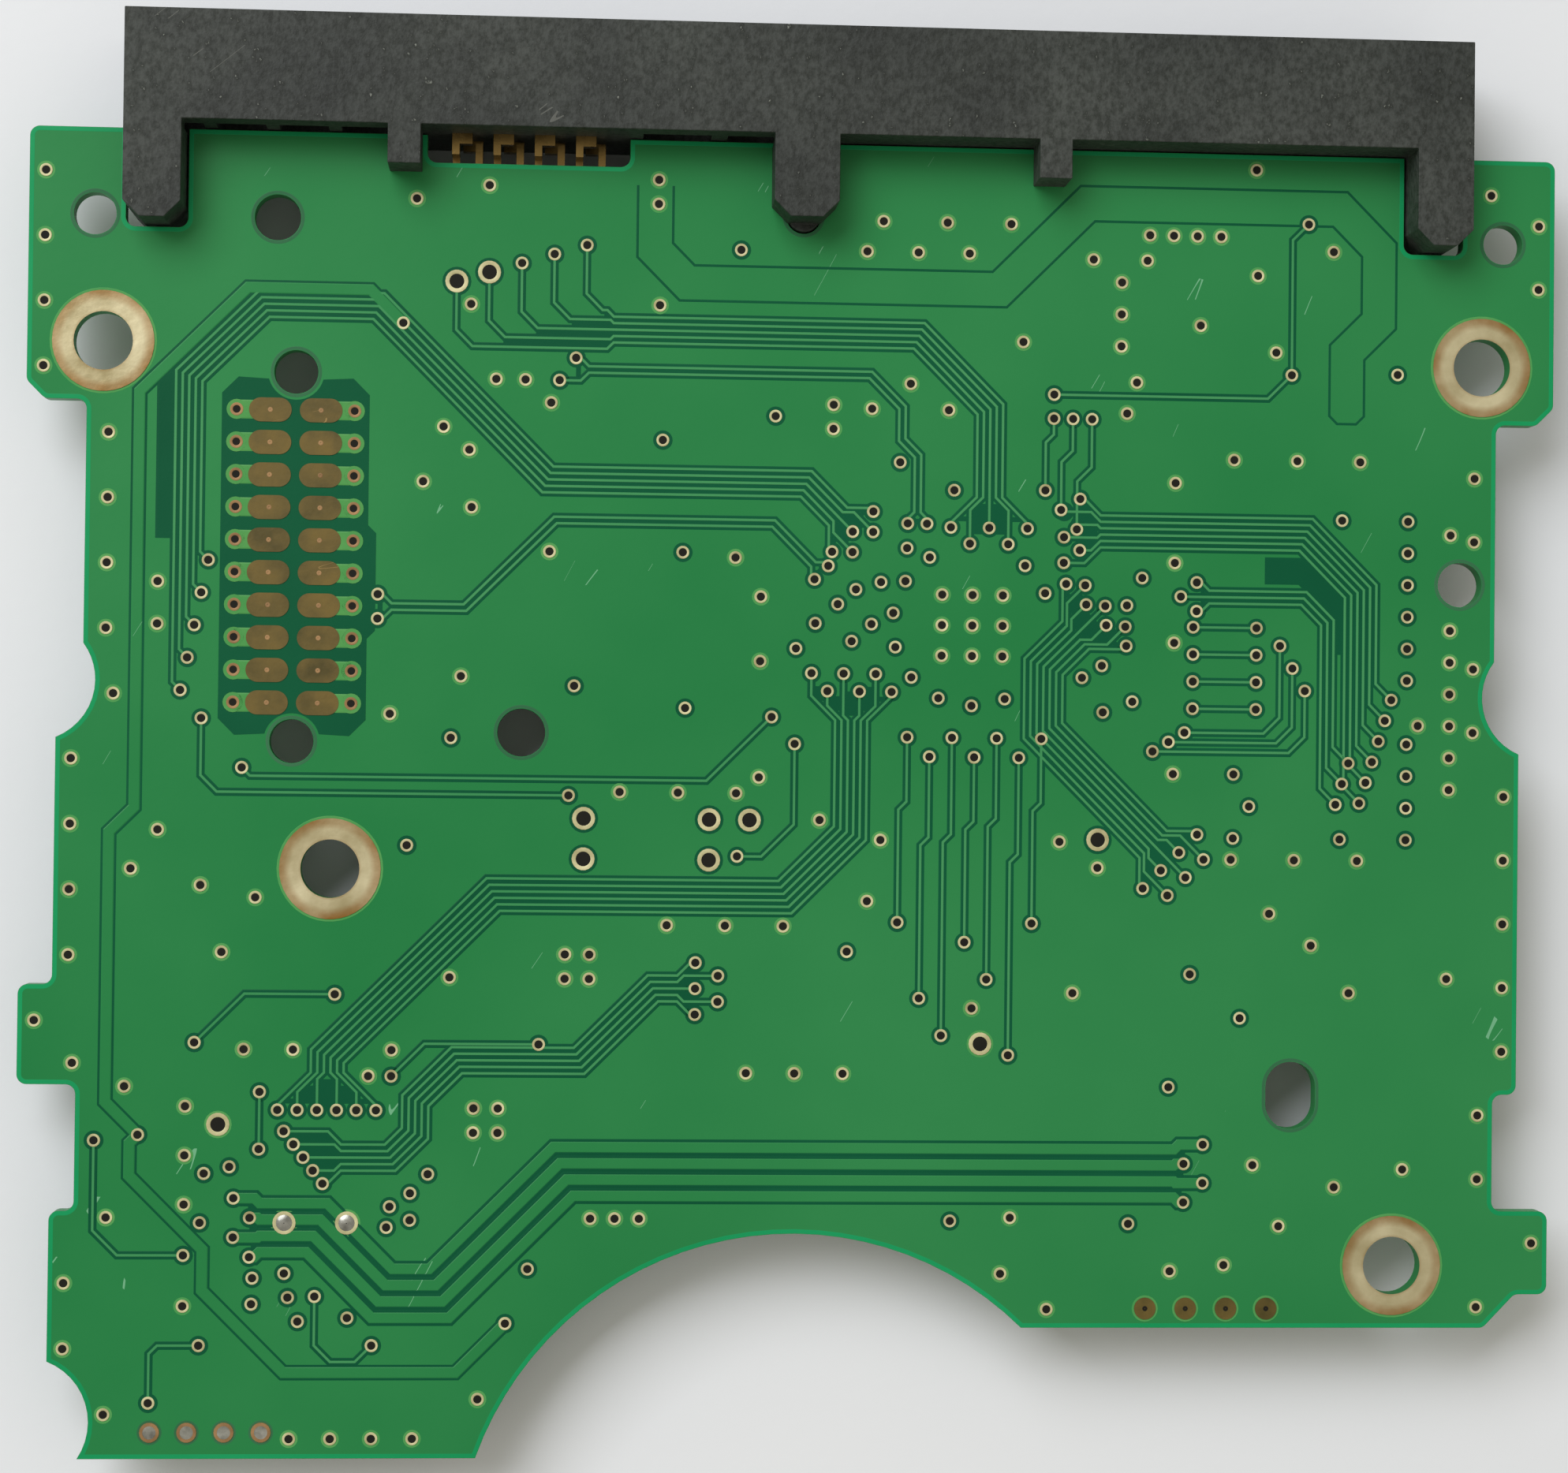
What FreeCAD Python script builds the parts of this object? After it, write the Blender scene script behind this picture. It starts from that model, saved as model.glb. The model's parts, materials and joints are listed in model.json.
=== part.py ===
"""Controller board of a 3.5 inch hard disk drive, as a parametric document in millimetres.

The board lies with the side that faces the drive upwards. X runs along the connector edge, +Y points
out of the connectors, +Z is up. The origin is under the middle of the whole assembly, on the plane
that the connector housing and the two power inductors stand on.
"""
import FreeCAD, Part
import os
import re
import Sketcher

Vector = FreeCAD.Vector

SIZES = {
    # Board blank
    "board_width": 95.0,
    "board_depth": 81.4,
    "board_thick": 1.2,
    "stand_height": 4.4,
    "corner_round": 0.6,
    # Outline: steps in from the full width, and where they begin and end
    "ear_length": 16.7,
    "ear_chamfer": 1.1,
    "upper_waist": 3.65,
    "middle_waist": 2.05,
    "lower_waist": 3.55,
    "boss_radius": 3.8,
    "boss_outset": 0.6,
    "boss_from_edge": 33.9,
    "left_tab_near": 28.9,
    "left_tab_far": 22.8,
    "left_waist_far": 15.1,
    "right_waist_near": 22.6,
    "right_tab_near": 15.3,
    "right_tab_far": 10.1,
    "right_rise": 8.0,
    "right_corner_cut": 2.0,
    "corner_boss_radius": 4.0,
    "corner_boss_outset": 0.6,
    "corner_boss_rise": 2.2,
    "motor_cut_radius": 20.5,
    "motor_cut_drop": 6.7,
    # Holes
    "screw_hole_radius": 1.8,
    "land_radius": 3.1,
    "land_thick": 0.05,
    "top_screw_inset": 4.6,
    "top_screw_from_edge": 13.1,
    "left_screw_x": 28.7,
    "left_screw_from_edge": 45.3,
    "right_screw_inset": 9.9,
    "right_screw_from_back": 11.9,
    "locating_radius": 1.35,
    "slot_hole_width": 3.15,
    "slot_hole_length": 4.2,
    "slot_hole_x": 31.1,
    "slot_hole_from_back": 22.5,
    # Contact lands on the drive side
    "head_pad_pitch": 2.0,
    "head_pad_length": 2.6,
    "head_pad_width": 1.48,
    "head_column_gap": 3.1,
    "head_pads_x": 31.15,
    "head_pads_from_edge": 26.15,
    "motor_pad_radius": 0.68,
    "motor_pad_pitch": 2.54,
    "motor_pads_inset": 25.45,
    "motor_pads_from_back": 9.2,
    "test_hole_radius": 0.53,
    "test_hole_pitch": 2.25,
    "test_holes_inset": 8.3,
    "test_holes_from_back": 1.6,
    # Connector housing
    "connector_overhang": 6.8,
    "corner_ear": 6.0,
    "housing_height": 8.6,
    "housing_gap": 0.1,
    "leg_width": 3.5,
    "leg_reach": 6.0,
    "leg_clearance": 0.15,
    "leg_tip_cut": 1.0,
    "centre_leg_width": 4.0,
    "centre_leg_reach": 5.1,
    "post_radius": 1.0,
    "post_clearance": 0.1,
    "post_from_edge": 4.5,
    "tab_width": 2.0,
    "tab_reach": 2.4,
    "left_tab_inset": 16.9,
    "right_tab_inset": 26.15,
    "socket_depth": 6.0,
    "socket_floor": 1.2,
    "socket_roof": 1.2,
    "socket_side": 1.6,
    # Serial plug
    "contact_pitch": 1.27,
    "contact_width": 0.84,
    "contact_thick": 0.3,
    "contact_embed": 0.1,
    "contact_tail": 2.2,
    "blade_thick": 1.23,
    "blade_side": 0.8,
    "blade_recess": 0.3,
    "key_width": 1.1,
    "key_drop": 1.2,
    "segment_gap": 6.35,
    "last_contact_inset": 5.03,
    # Jumper block
    "pin_side": 0.64,
    "pin_pitch": 2.54,
    "pin_row_height": 4.3,
    "pin_recess": 0.6,
    "pin_tail_width": 0.45,
    "pin_tail_offset": 0.7,
    "pin_foot": 2.0,
    "jumper_inset": 24.45,
    "jumper_slot_width": 12.5,
    "jumper_slot_depth": 1.7,
    "jumper_wall": 1.7,
    # Large packages: body sides, heights, leads
    "chip_bevel": 0.12,
    "chip_lift": 0.1,
    "lead_thick": 0.15,
    "controller_side": 20.0,
    "controller_height": 1.4,
    "controller_x": 10.8,
    "controller_from_edge": 29.8,
    "controller_pad_side": 7.0,
    "memory_width": 10.16,
    "memory_length": 22.22,
    "memory_height": 1.0,
    "memory_x": 31.2,
    "memory_from_edge": 33.3,
    "driver_side": 10.0,
    "driver_height": 1.2,
    "driver_x": 29.3,
    "driver_from_back": 15.4,
    "driver_pad_side": 5.0,
    "flash_width": 3.9,
    "flash_length": 4.9,
    "flash_height": 1.5,
    "flash_x": 9.6,
    "flash_from_edge": 27.0,
    "transistor_width": 3.9,
    "transistor_length": 4.9,
    "crystal_width": 5.0,
    "crystal_depth": 3.2,
    "crystal_base_height": 0.4,
    "crystal_can_height": 0.8,
    "crystal_x": 4.5,
    "crystal_from_edge": 17.0,
    "inductor_radius": 2.9,
    "inductor_column": 1.4,
    "inductor_flange": 0.9,
    "inductor_lift": 0.3,
    "inductor_wire_gap": 0.25,
}

doc = FreeCAD.newDocument("controller_board")
sheet = doc.addObject("Spreadsheet::Sheet", "Sizes")
for row, (alias, value) in enumerate(SIZES.items(), start=1):
    sheet.set(f"A{row}", alias)
    sheet.set(f"B{row}", str(value))
    sheet.setAlias(f"B{row}", alias)
doc.recompute()

nodes = []


def cells(text):
    """Turns the names of sizes in a formula into references to the sheet's cells."""
    def as_cell(word):
        return "Sizes." + word.group() if word.group() in SIZES else word.group()

    return re.sub(r"[a-z_]+", as_cell, str(text))


def number(text):
    """The value of a formula of sizes."""
    return float(sheet.evalExpression(cells(text)))


def keep(piece, label):
    """Marks an object as a finished sub-part of the assembly."""
    piece.Label = label
    nodes.append(piece)
    return piece


# Places that many pieces share
HALF = "(board_width / 2)"
EDGE = "((board_depth - connector_overhang) / 2)"
BACK = "(-(board_depth + connector_overhang) / 2)"
UNDER = "stand_height"
TOP = "(stand_height + board_thick)"
HOUSING_HALF = f"({HALF} - corner_ear)"
HOUSING_REAR = f"({EDGE} + housing_gap)"
HOUSING_FRONT = f"({EDGE} + connector_overhang)"


def from_edge(distance):
    return f"({EDGE} - {distance})"


def from_back(distance):
    return f"({BACK} + {distance})"


def bind(thing, **formulas):
    """Binds properties of an object to formulas of sizes."""
    for name, formula in formulas.items():
        thing.setExpression(name, cells(formula))


def place(thing, x, y, z):
    for axis, formula in zip("xyz", (x, y, z)):
        thing.setExpression(f"Placement.Base.{axis}", cells(formula))
    return thing


def block(name, low, high):
    """A box between two corners, each given by three formulas."""
    box = doc.addObject("Part::Box", name)
    for side, a, b in zip(("Length", "Width", "Height"), low, high):
        box.setExpression(side, cells(f"({b}) - ({a})"))
    return place(box, *low)


def rod(name, radius, x, y, low, high):
    """An upright cylinder."""
    cylinder = doc.addObject("Part::Cylinder", name)
    bind(cylinder, Radius=radius, Height=f"({high}) - ({low})")
    return place(cylinder, x, y, low)


def group(label, pieces):
    """Separate solids that share one node."""
    together = doc.addObject("Part::Compound", label + "_group")
    together.Links = pieces
    return keep(together, label)


def cut(label, base, tool):
    result = doc.addObject("Part::Cut", label + "_cut")
    result.Base = base
    result.Tool = tool
    result.Label = label
    return result


def fused(name, pieces):
    result = doc.addObject("Part::MultiFuse", name)
    result.Shapes = pieces
    return result


def body_box(body, kind, name, low, high):
    """Adds a box to a body, or takes one away: kind is Additive or Subtractive."""
    feature = body.newObject(f"PartDesign::{kind}Box", name)
    for side, a, b in zip(("Length", "Width", "Height"), low, high):
        feature.setExpression(side, cells(f"({b}) - ({a})"))
    return place(feature, *low)


def flat_sketch(body, name):
    """An empty sketch on the body's own XY plane."""
    sketch = body.newObject("Sketcher::SketchObject", name)
    plane = next(p for p in body.Origin.OriginFeatures if p.Role == "XY_Plane")
    sketch.AttachmentSupport = (plane, [""])
    sketch.MapMode = "FlatFace"
    return sketch


def pin_point(sketch, geometry, point, x, y):
    """Ties one point of a sketch to its coordinates."""
    for kind, formula in (("DistanceX", x), ("DistanceY", y)):
        index = sketch.addConstraint(Sketcher.Constraint(kind, geometry, point, number(formula)))
        sketch.setExpression(f"Constraints[{index}]", cells(formula))


def draw_polygon(sketch, corners):
    """Closed outline whose every corner follows two formulas."""
    points = [Vector(number(x), number(y), 0) for x, y in corners]
    first = sketch.GeometryCount
    count = len(points)
    for i in range(count):
        sketch.addGeometry(Part.LineSegment(points[i], points[(i + 1) % count]))
    for i in range(count):
        following = first + (i + 1) % count
        sketch.addConstraint(Sketcher.Constraint("Coincident", first + i, 2, following, 1))
    for i, (x, y) in enumerate(corners):
        pin_point(sketch, first + i, 1, x, y)


def draw_circle(sketch, x, y, radius):
    circle = Part.Circle(Vector(number(x), number(y), 0), Vector(0, 0, 1), number(radius))
    index = sketch.addGeometry(circle)
    pin_point(sketch, index, 3, x, y)
    constraint = sketch.addConstraint(Sketcher.Constraint("Radius", index, number(radius)))
    sketch.setExpression(f"Constraints[{constraint}]", cells(radius))


def pocket(body, name, sketch):
    """Cuts a sketch upwards right through the body."""
    before = body.Shape.Volume
    feature = body.newObject("PartDesign::Pocket", name)
    feature.Profile = sketch
    feature.Type = "ThroughAll"
    feature.Reversed = True
    doc.recompute()
    if body.Shape.Volume >= before:
        raise RuntimeError(f"{name} cuts nothing")
    return feature


def upright_edges(shape, spots, reach=0.01):
    """Names of the vertical edges that stand at the given places."""
    found = []
    for i, edge in enumerate(shape.Edges, start=1):
        a, b = edge.Vertexes[0].Point, edge.Vertexes[-1].Point
        if (a - b).Length > 0.1 and abs(a.x - b.x) + abs(a.y - b.y) < 1e-6:
            if any(abs(a.x - x) + abs(a.y - y) < reach for x, y in spots):
                found.append(f"Edge{i}")
    return found


def dress(body, kind, name, size_name, spots):
    """Fillets or chamfers the upright edges at the given places: kind is Fillet or Chamfer."""
    base = body.Tip
    where = [(number(x), number(y)) for x, y in spots]
    feature = body.newObject(f"PartDesign::{kind}", name)
    feature.Base = (base, upright_edges(base.Shape, where))
    bind(feature, **{"Radius" if kind == "Fillet" else "Size": size_name})
    doc.recompute()
    return feature


# --- Board laminate -------------------------------------------------------------------------------

LEFT_OUTLINE = [
    (f"-{HALF}", EDGE),
    (f"-{HALF}", from_edge("(ear_length - ear_chamfer)")),
    (f"-{HALF} + ear_chamfer", from_edge("ear_length")),
    (f"-{HALF} + upper_waist", from_edge("ear_length")),
    (f"-{HALF} + upper_waist", from_edge("boss_from_edge")),
    (f"-{HALF} + middle_waist", from_edge("boss_from_edge")),
    (f"-{HALF} + middle_waist", from_back("left_tab_near")),
    (f"-{HALF}", from_back("left_tab_near")),
    (f"-{HALF}", from_back("left_tab_far")),
    (f"-{HALF} + lower_waist", from_back("left_tab_far")),
    (f"-{HALF} + lower_waist", from_back("left_waist_far")),
    (f"-{HALF} + middle_waist", from_back("left_waist_far")),
    (f"-{HALF} + middle_waist", BACK),
]
BOTTOM_STEP = [
    ("0", BACK),
    ("0", from_back("right_rise")),
]
RIGHT_OUTLINE = [
    (f"{HALF} - middle_waist - right_corner_cut", from_back("right_rise")),
    (f"{HALF} - middle_waist", from_back("right_tab_far")),
    (HALF, from_back("right_tab_far")),
    (HALF, from_back("right_tab_near")),
    (f"{HALF} - lower_waist", from_back("right_tab_near")),
    (f"{HALF} - lower_waist", from_back("right_waist_near")),
    (f"{HALF} - middle_waist", from_back("right_waist_near")),
    (f"{HALF} - middle_waist", from_edge("boss_from_edge")),
    (f"{HALF} - upper_waist", from_edge("boss_from_edge")),
    (f"{HALF} - upper_waist", from_edge("ear_length")),
    (f"{HALF} - ear_chamfer", from_edge("ear_length")),
    (HALF, from_edge("(ear_length - ear_chamfer)")),
    (HALF, EDGE),
]
# These corners lie inside the round clearances that are cut afterwards, so they stay sharp.
INSIDE_ROUND_CUTS = [LEFT_OUTLINE[4], LEFT_OUTLINE[5], LEFT_OUTLINE[12], RIGHT_OUTLINE[7], RIGHT_OUTLINE[8]]

SCREW_HOLES = [
    (f"-{HALF} + top_screw_inset", from_edge("top_screw_from_edge")),
    (f"{HALF} - top_screw_inset", from_edge("top_screw_from_edge")),
    ("-left_screw_x", from_edge("left_screw_from_edge")),
    (f"{HALF} - right_screw_inset", from_back("right_screw_from_back")),
]
# Unplated holes: x, y, radius. The drive's own pegs and the head connector's pegs enter them.
PEG_HOLES = [
    (f"-{HALF} + 4.0", from_edge("5.3"), "1.3"),
    (f"{HALF} - 3.3", from_edge("5.3"), "1.25"),
    ("-32.4", from_edge("5.3"), "1.42"),
    ("-head_pads_x", from_edge("14.8"), "locating_radius"),
    ("-head_pads_x", from_edge("37.5"), "locating_radius"),
    ("-17.1", from_edge("36.8"), "1.48"),
    (f"{HALF} - 5.9", from_edge("26.8"), "1.4"),
    ("0", from_edge("post_from_edge"), "post_radius + post_clearance"),
]
NOTCH_DEPTH = "(leg_reach - housing_gap + leg_clearance)"
JUMPER_X = f"(-{HOUSING_HALF} + jumper_inset)"


def test_hole_x(i):
    return f"(-{HALF} + test_holes_inset + {i} * test_hole_pitch)"


def notch(x_low, x_high, depth):
    """Corners of a rectangular bite out of the connector edge."""
    outside, inside = f"{EDGE} + 1", f"{EDGE} - {depth}"
    return [(x_low, outside), (x_low, inside), (x_high, inside), (x_high, outside)]


def make_board():
    body = doc.addObject("PartDesign::Body", "Board")
    place(body, "0", "0", UNDER)
    blank = flat_sketch(body, "blank_outline")
    outline = LEFT_OUTLINE + BOTTOM_STEP + RIGHT_OUTLINE
    draw_polygon(blank, outline)
    plate = body.newObject("PartDesign::Pad", "plate")
    plate.Profile = blank
    bind(plate, Length="board_thick")
    doc.recompute()
    rounded = [c for c in outline if c not in INSIDE_ROUND_CUTS and c not in BOTTOM_STEP]
    dress(body, "Fillet", "rounded_corners", "corner_round", rounded)

    inner = f"{HOUSING_HALF} - leg_width - leg_clearance"
    outer = f"{HOUSING_HALF} + leg_clearance"
    notches = [
        notch(f"-({outer})", f"-({inner})", NOTCH_DEPTH),
        notch(inner, outer, NOTCH_DEPTH),
        notch(f"{JUMPER_X} - jumper_slot_width / 2", f"{JUMPER_X} + jumper_slot_width / 2",
              "jumper_slot_depth"),
    ]
    bites = flat_sketch(body, "connector_notches")
    for corners in notches:
        draw_polygon(bites, corners)
    pocket(body, "notches", bites)
    dress(body, "Fillet", "rounded_notches", "corner_round", [c for n in notches for c in n[1:3]])

    clearances = flat_sketch(body, "casting_clearances")
    boss_x = f"({HALF} - boss_outset)"
    draw_circle(clearances, f"-{boss_x}", from_edge("boss_from_edge"), "boss_radius")
    draw_circle(clearances, boss_x, from_edge("boss_from_edge"), "boss_radius")
    draw_circle(clearances, f"-{HALF} + corner_boss_outset", from_back("corner_boss_rise"),
                "corner_boss_radius")
    draw_circle(clearances, "0", f"{BACK} - motor_cut_drop", "motor_cut_radius")
    pocket(body, "round_clearances", clearances)

    holes = flat_sketch(body, "hole_circles")
    for x, y in SCREW_HOLES:
        draw_circle(holes, x, y, "screw_hole_radius")
    for x, y, radius in PEG_HOLES:
        draw_circle(holes, x, y, radius)
    for i in range(4):
        draw_circle(holes, test_hole_x(i), from_back("test_holes_from_back"), "test_hole_radius")
    pocket(body, "holes", holes)

    x, y = "slot_hole_x", from_back("slot_hole_from_back")
    straight = "((slot_hole_length - slot_hole_width) / 2)"
    for name, end in (("slot_near_end", straight), ("slot_far_end", f"-{straight}")):
        round_end = body.newObject("PartDesign::SubtractiveCylinder", name)
        bind(round_end, Radius="slot_hole_width / 2", Height="3 * board_thick")
        place(round_end, x, f"{y} + {end}", "-board_thick")
    low = (f"{x} - slot_hole_width / 2", f"{y} - {straight}", "-board_thick")
    high = (f"{x} + slot_hole_width / 2", f"{y} + {straight}", "2 * board_thick")
    body_box(body, "Subtractive", "slot_middle", low, high)
    return keep(body, "board_laminate")


# --- Lands on the drive side ----------------------------------------------------------------------

def make_screw_lands():
    rings = []
    for i, (x, y) in enumerate(SCREW_HOLES):
        disc = rod(f"land_disc_{i}", "land_radius", x, y, TOP, f"{TOP} + land_thick")
        hole = rod(f"land_hole_{i}", "screw_hole_radius", x, y, f"{TOP} - 1", f"{TOP} + 1")
        rings.append(cut(f"land_{i}", disc, hole))
    group("screw_hole_lands", rings)


def oval(name, x, y, low, high, length, width):
    """An upright oval: a box with a half round at each end along X."""
    reach = f"(({length}) - ({width})) / 2"
    ends = [rod(f"{name}_end_{s}", f"({width}) / 2", f"{x} {s} {reach}", y, low, high) for s in "+-"]
    low_corner = (f"{x} - {reach}", f"{y} - ({width}) / 2", low)
    high_corner = (f"{x} + {reach}", f"{y} + ({width}) / 2", high)
    return fused(name, [block(f"{name}_middle", low_corner, high_corner), *ends])


def make_head_pads():
    pads = []
    for column, side in enumerate("-+"):
        for i in range(10):
            x = f"(-head_pads_x {side} head_column_gap / 2)"
            y = from_edge(f"(head_pads_from_edge + {i - 4.5} * head_pad_pitch)")
            name = f"head_pad_{column}_{i}"
            pads.append(oval(name, x, y, TOP, f"{TOP} + land_thick", "head_pad_length", "head_pad_width"))
    group("head_contact_pads", pads)


def make_motor_pads():
    pads = []
    for i in range(4):
        x = f"({HALF} - motor_pads_inset + {i} * motor_pad_pitch)"
        y = from_back("motor_pads_from_back")
        pads.append(rod(f"motor_pad_{i}", "motor_pad_radius", x, y, TOP, f"{TOP} + land_thick"))
    group("motor_contact_pads", pads)


def make_filled_test_holes():
    plugs = []
    for i in range(4):
        y = from_back("test_holes_from_back")
        plugs.append(rod(f"solder_plug_{i}", "test_hole_radius", test_hole_x(i), y,
                         UNDER, f"{TOP} + land_thick"))
    group("filled_test_holes", plugs)


# --- Connectors -----------------------------------------------------------------------------------

LAST_CONTACT_X = f"({HOUSING_HALF} - last_contact_inset)"
FIRST_POWER_X = f"({LAST_CONTACT_X} - 14 * contact_pitch)"
LAST_SIGNAL_X = f"({FIRST_POWER_X} - segment_gap)"
FIRST_SIGNAL_X = f"({LAST_SIGNAL_X} - 6 * contact_pitch)"
CONTACT_LOW = "(stand_height - contact_thick)"
BLADE_TOP = f"({CONTACT_LOW} + contact_embed)"
BLADE_LOW = f"({BLADE_TOP} - blade_thick)"
BLADE_FRONT = f"({HOUSING_FRONT} - blade_recess)"
SOCKET_BACK = f"({HOUSING_FRONT} - socket_depth)"
SOCKET_TOP = "(housing_height - socket_roof)"
# Ground and pre-charge contacts reach further forward, so they meet first.
LONG_SIGNAL = (0, 3, 6)
LONG_POWER = (3, 4, 5, 9, 11)


def make_contacts(label, first_x, count, long_ones):
    """Flat contacts that lie in the blade's upper face and run back to the board's underside."""
    strips = []
    for i in range(count):
        x = f"({first_x} + {i} * contact_pitch)"
        recess = "0.3" if i in long_ones else "0.9"
        low = (f"{x} - contact_width / 2", f"{HOUSING_REAR} - contact_tail", CONTACT_LOW)
        high = (f"{x} + contact_width / 2", f"{BLADE_FRONT} - {recess}", UNDER)
        strips.append(block(f"{label}_{i}", low, high))
    return group(label, strips)


def jumper_pin(name, column, height, front, drop_y, side):
    """A square pin, a sideways jog behind the housing, a tail at the board's edge and a soldered foot."""
    x = f"({JUMPER_X} + {column - 1.5} * pin_pitch)"
    tail_x = f"({x} {side} pin_tail_offset)"
    half = "pin_side / 2"
    shaft = block(f"{name}_shaft", (f"{x} - {half}", f"{HOUSING_REAR} - pin_side", f"{height} - {half}"),
                  (f"{x} + {half}", front, f"{height} + {half}"))
    jog_low, jog_high = (tail_x, x) if side == "-" else (x, tail_x)
    jog = block(f"{name}_jog",
                (f"{jog_low} - pin_tail_width / 2", f"{HOUSING_REAR} - pin_side", f"{height} - {half}"),
                (f"{jog_high} + pin_tail_width / 2", HOUSING_REAR, f"{height} + {half}"))
    left, right = f"{tail_x} - pin_tail_width / 2", f"{tail_x} + pin_tail_width / 2"
    foot_low, foot_high = f"{UNDER} - pin_tail_width", UNDER
    bottom = f"min({foot_low}; {height} - {half})"
    top = f"max({UNDER}; {height} + {half})"
    tail = block(f"{name}_tail", (left, drop_y, bottom), (right, f"{HOUSING_REAR} - pin_side / 2", top))
    foot = block(f"{name}_foot", (left, f"{drop_y} - pin_foot", foot_low),
                 (right, f"{drop_y} + 0.1", foot_high))
    return fused(name, [shaft, jog, tail, foot])


def make_jumper_pins():
    front = f"({HOUSING_FRONT} - pin_recess)"
    rows = {}
    for label, level, drop, side in (("upper", "+", "1.2", "-"), ("lower", "-", "1.35", "+")):
        height = f"(pin_row_height {level} pin_pitch / 2)"
        drop_y = from_edge(drop)
        pins = [jumper_pin(f"{label}_pin_{i}", i, height, front, drop_y, side) for i in range(4)]
        rows[label] = group(f"{label}_jumper_pins", pins)
    return rows


def socket(body, name, x_low, x_high, depth, floor, roof):
    """A recess in the housing's mating face."""
    low = (x_low, f"{HOUSING_FRONT} - {depth}", floor)
    high = (x_high, f"{HOUSING_FRONT} + 1", roof)
    body_box(body, "Subtractive", name, low, high)


def blade(body, name, x_low, x_high, key_low):
    """A contact blade with the foot that keys it, on the side towards the gap between the blades."""
    low, high = (x_low, SOCKET_BACK, BLADE_LOW), (x_high, BLADE_FRONT, BLADE_TOP)
    body_box(body, "Additive", f"{name}_blade", low, high)
    key_x = x_low if key_low else f"{x_high} - key_width"
    low = (key_x, SOCKET_BACK, f"{BLADE_LOW} - key_drop")
    high = (f"{key_x} + key_width", BLADE_FRONT, BLADE_LOW)
    body_box(body, "Additive", f"{name}_key", low, high)


def make_housing_body():
    body = doc.addObject("PartDesign::Body", "HousingBody")
    low, high = (f"-{HOUSING_HALF}", HOUSING_REAR, "0"), (HOUSING_HALF, HOUSING_FRONT, "housing_height")
    body_box(body, "Additive", "main_block", low, high)
    tip = f"({HOUSING_REAR} - leg_reach)"
    leg_low = "(socket_floor + 0.2)"
    for name, left in (("left_leg", f"-{HOUSING_HALF}"), ("right_leg", f"{HOUSING_HALF} - leg_width")):
        body_box(body, "Additive", name, (left, tip, leg_low),
                 (f"{left} + leg_width", HOUSING_REAR, "housing_height"))
    centre_tip = f"({HOUSING_REAR} - centre_leg_reach)"
    low = ("-centre_leg_width / 2", centre_tip, TOP)
    high = ("centre_leg_width / 2", HOUSING_REAR, "housing_height")
    body_box(body, "Additive", "centre_leg", low, high)
    doc.recompute()
    tips = [(f"-{HOUSING_HALF}", tip), (f"-{HOUSING_HALF} + leg_width", tip), (HOUSING_HALF, tip),
            (f"{HOUSING_HALF} - leg_width", tip), ("-centre_leg_width / 2", centre_tip),
            ("centre_leg_width / 2", centre_tip)]
    dress(body, "Chamfer", "leg_tips", "leg_tip_cut", tips)

    post = body.newObject("PartDesign::AdditiveCylinder", "post")
    bind(post, Radius="post_radius", Height="board_thick + 0.3")
    place(post, "0", from_edge("post_from_edge"), f"{UNDER}")
    for name, x in (("left_tab", f"-{HOUSING_HALF} + left_tab_inset"),
                    ("right_tab", f"{HOUSING_HALF} - right_tab_inset")):
        low = (f"{x} - tab_width / 2", f"{HOUSING_REAR} - tab_reach", TOP)
        high = (f"{x} + tab_width / 2", f"{HOUSING_REAR} + 0.5", "housing_height")
        body_box(body, "Additive", name, low, high)

    serial_low = f"{FIRST_SIGNAL_X} - blade_side - socket_side"
    serial_high = f"{LAST_CONTACT_X} + blade_side + socket_side"
    socket(body, "serial_socket", serial_low, serial_high, "socket_depth", "socket_floor", SOCKET_TOP)
    blade(body, "signal", f"{FIRST_SIGNAL_X} - blade_side",
          f"{LAST_SIGNAL_X} + blade_side + key_width", False)
    blade(body, "power", f"{FIRST_POWER_X} - blade_side - key_width", f"{LAST_CONTACT_X} + blade_side", True)

    pins_half = "(1.5 * pin_pitch + pin_side / 2 + jumper_wall)"
    socket(body, "jumper_socket", f"{JUMPER_X} - {pins_half}", f"{JUMPER_X} + {pins_half}", "socket_depth",
           "socket_floor + 0.4", f"{SOCKET_TOP} - 0.4")
    for i in range(4):
        left = f"-{HOUSING_HALF} + 1.6 + {i} * 3.8"
        socket(body, f"left_core_{i}", left, f"{left} + 3.0", "socket_depth - 1",
               "socket_floor + 0.4", f"{SOCKET_TOP} - 0.4")
    for i in range(2):
        left = f"{JUMPER_X} + {pins_half} + 1.2 + {i} * 5.2"
        socket(body, f"middle_core_{i}", left, f"{left} + 4.2", "socket_depth - 1",
               "socket_floor + 0.4", f"{SOCKET_TOP} - 0.4")
    doc.recompute()
    return body


def make_connectors():
    signal = make_contacts("sata_signal_contacts", FIRST_SIGNAL_X, 7, LONG_SIGNAL)
    power = make_contacts("sata_power_contacts", FIRST_POWER_X, 15, LONG_POWER)
    rows = make_jumper_pins()
    metal = doc.addObject("Part::Compound", "ConnectorMetal")
    metal.Links = [signal, power, rows["upper"], rows["lower"]]
    keep(cut("connector_housing", make_housing_body(), metal), "connector_housing")


# --- Packages on the side away from the drive -----------------------------------------------------

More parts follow.
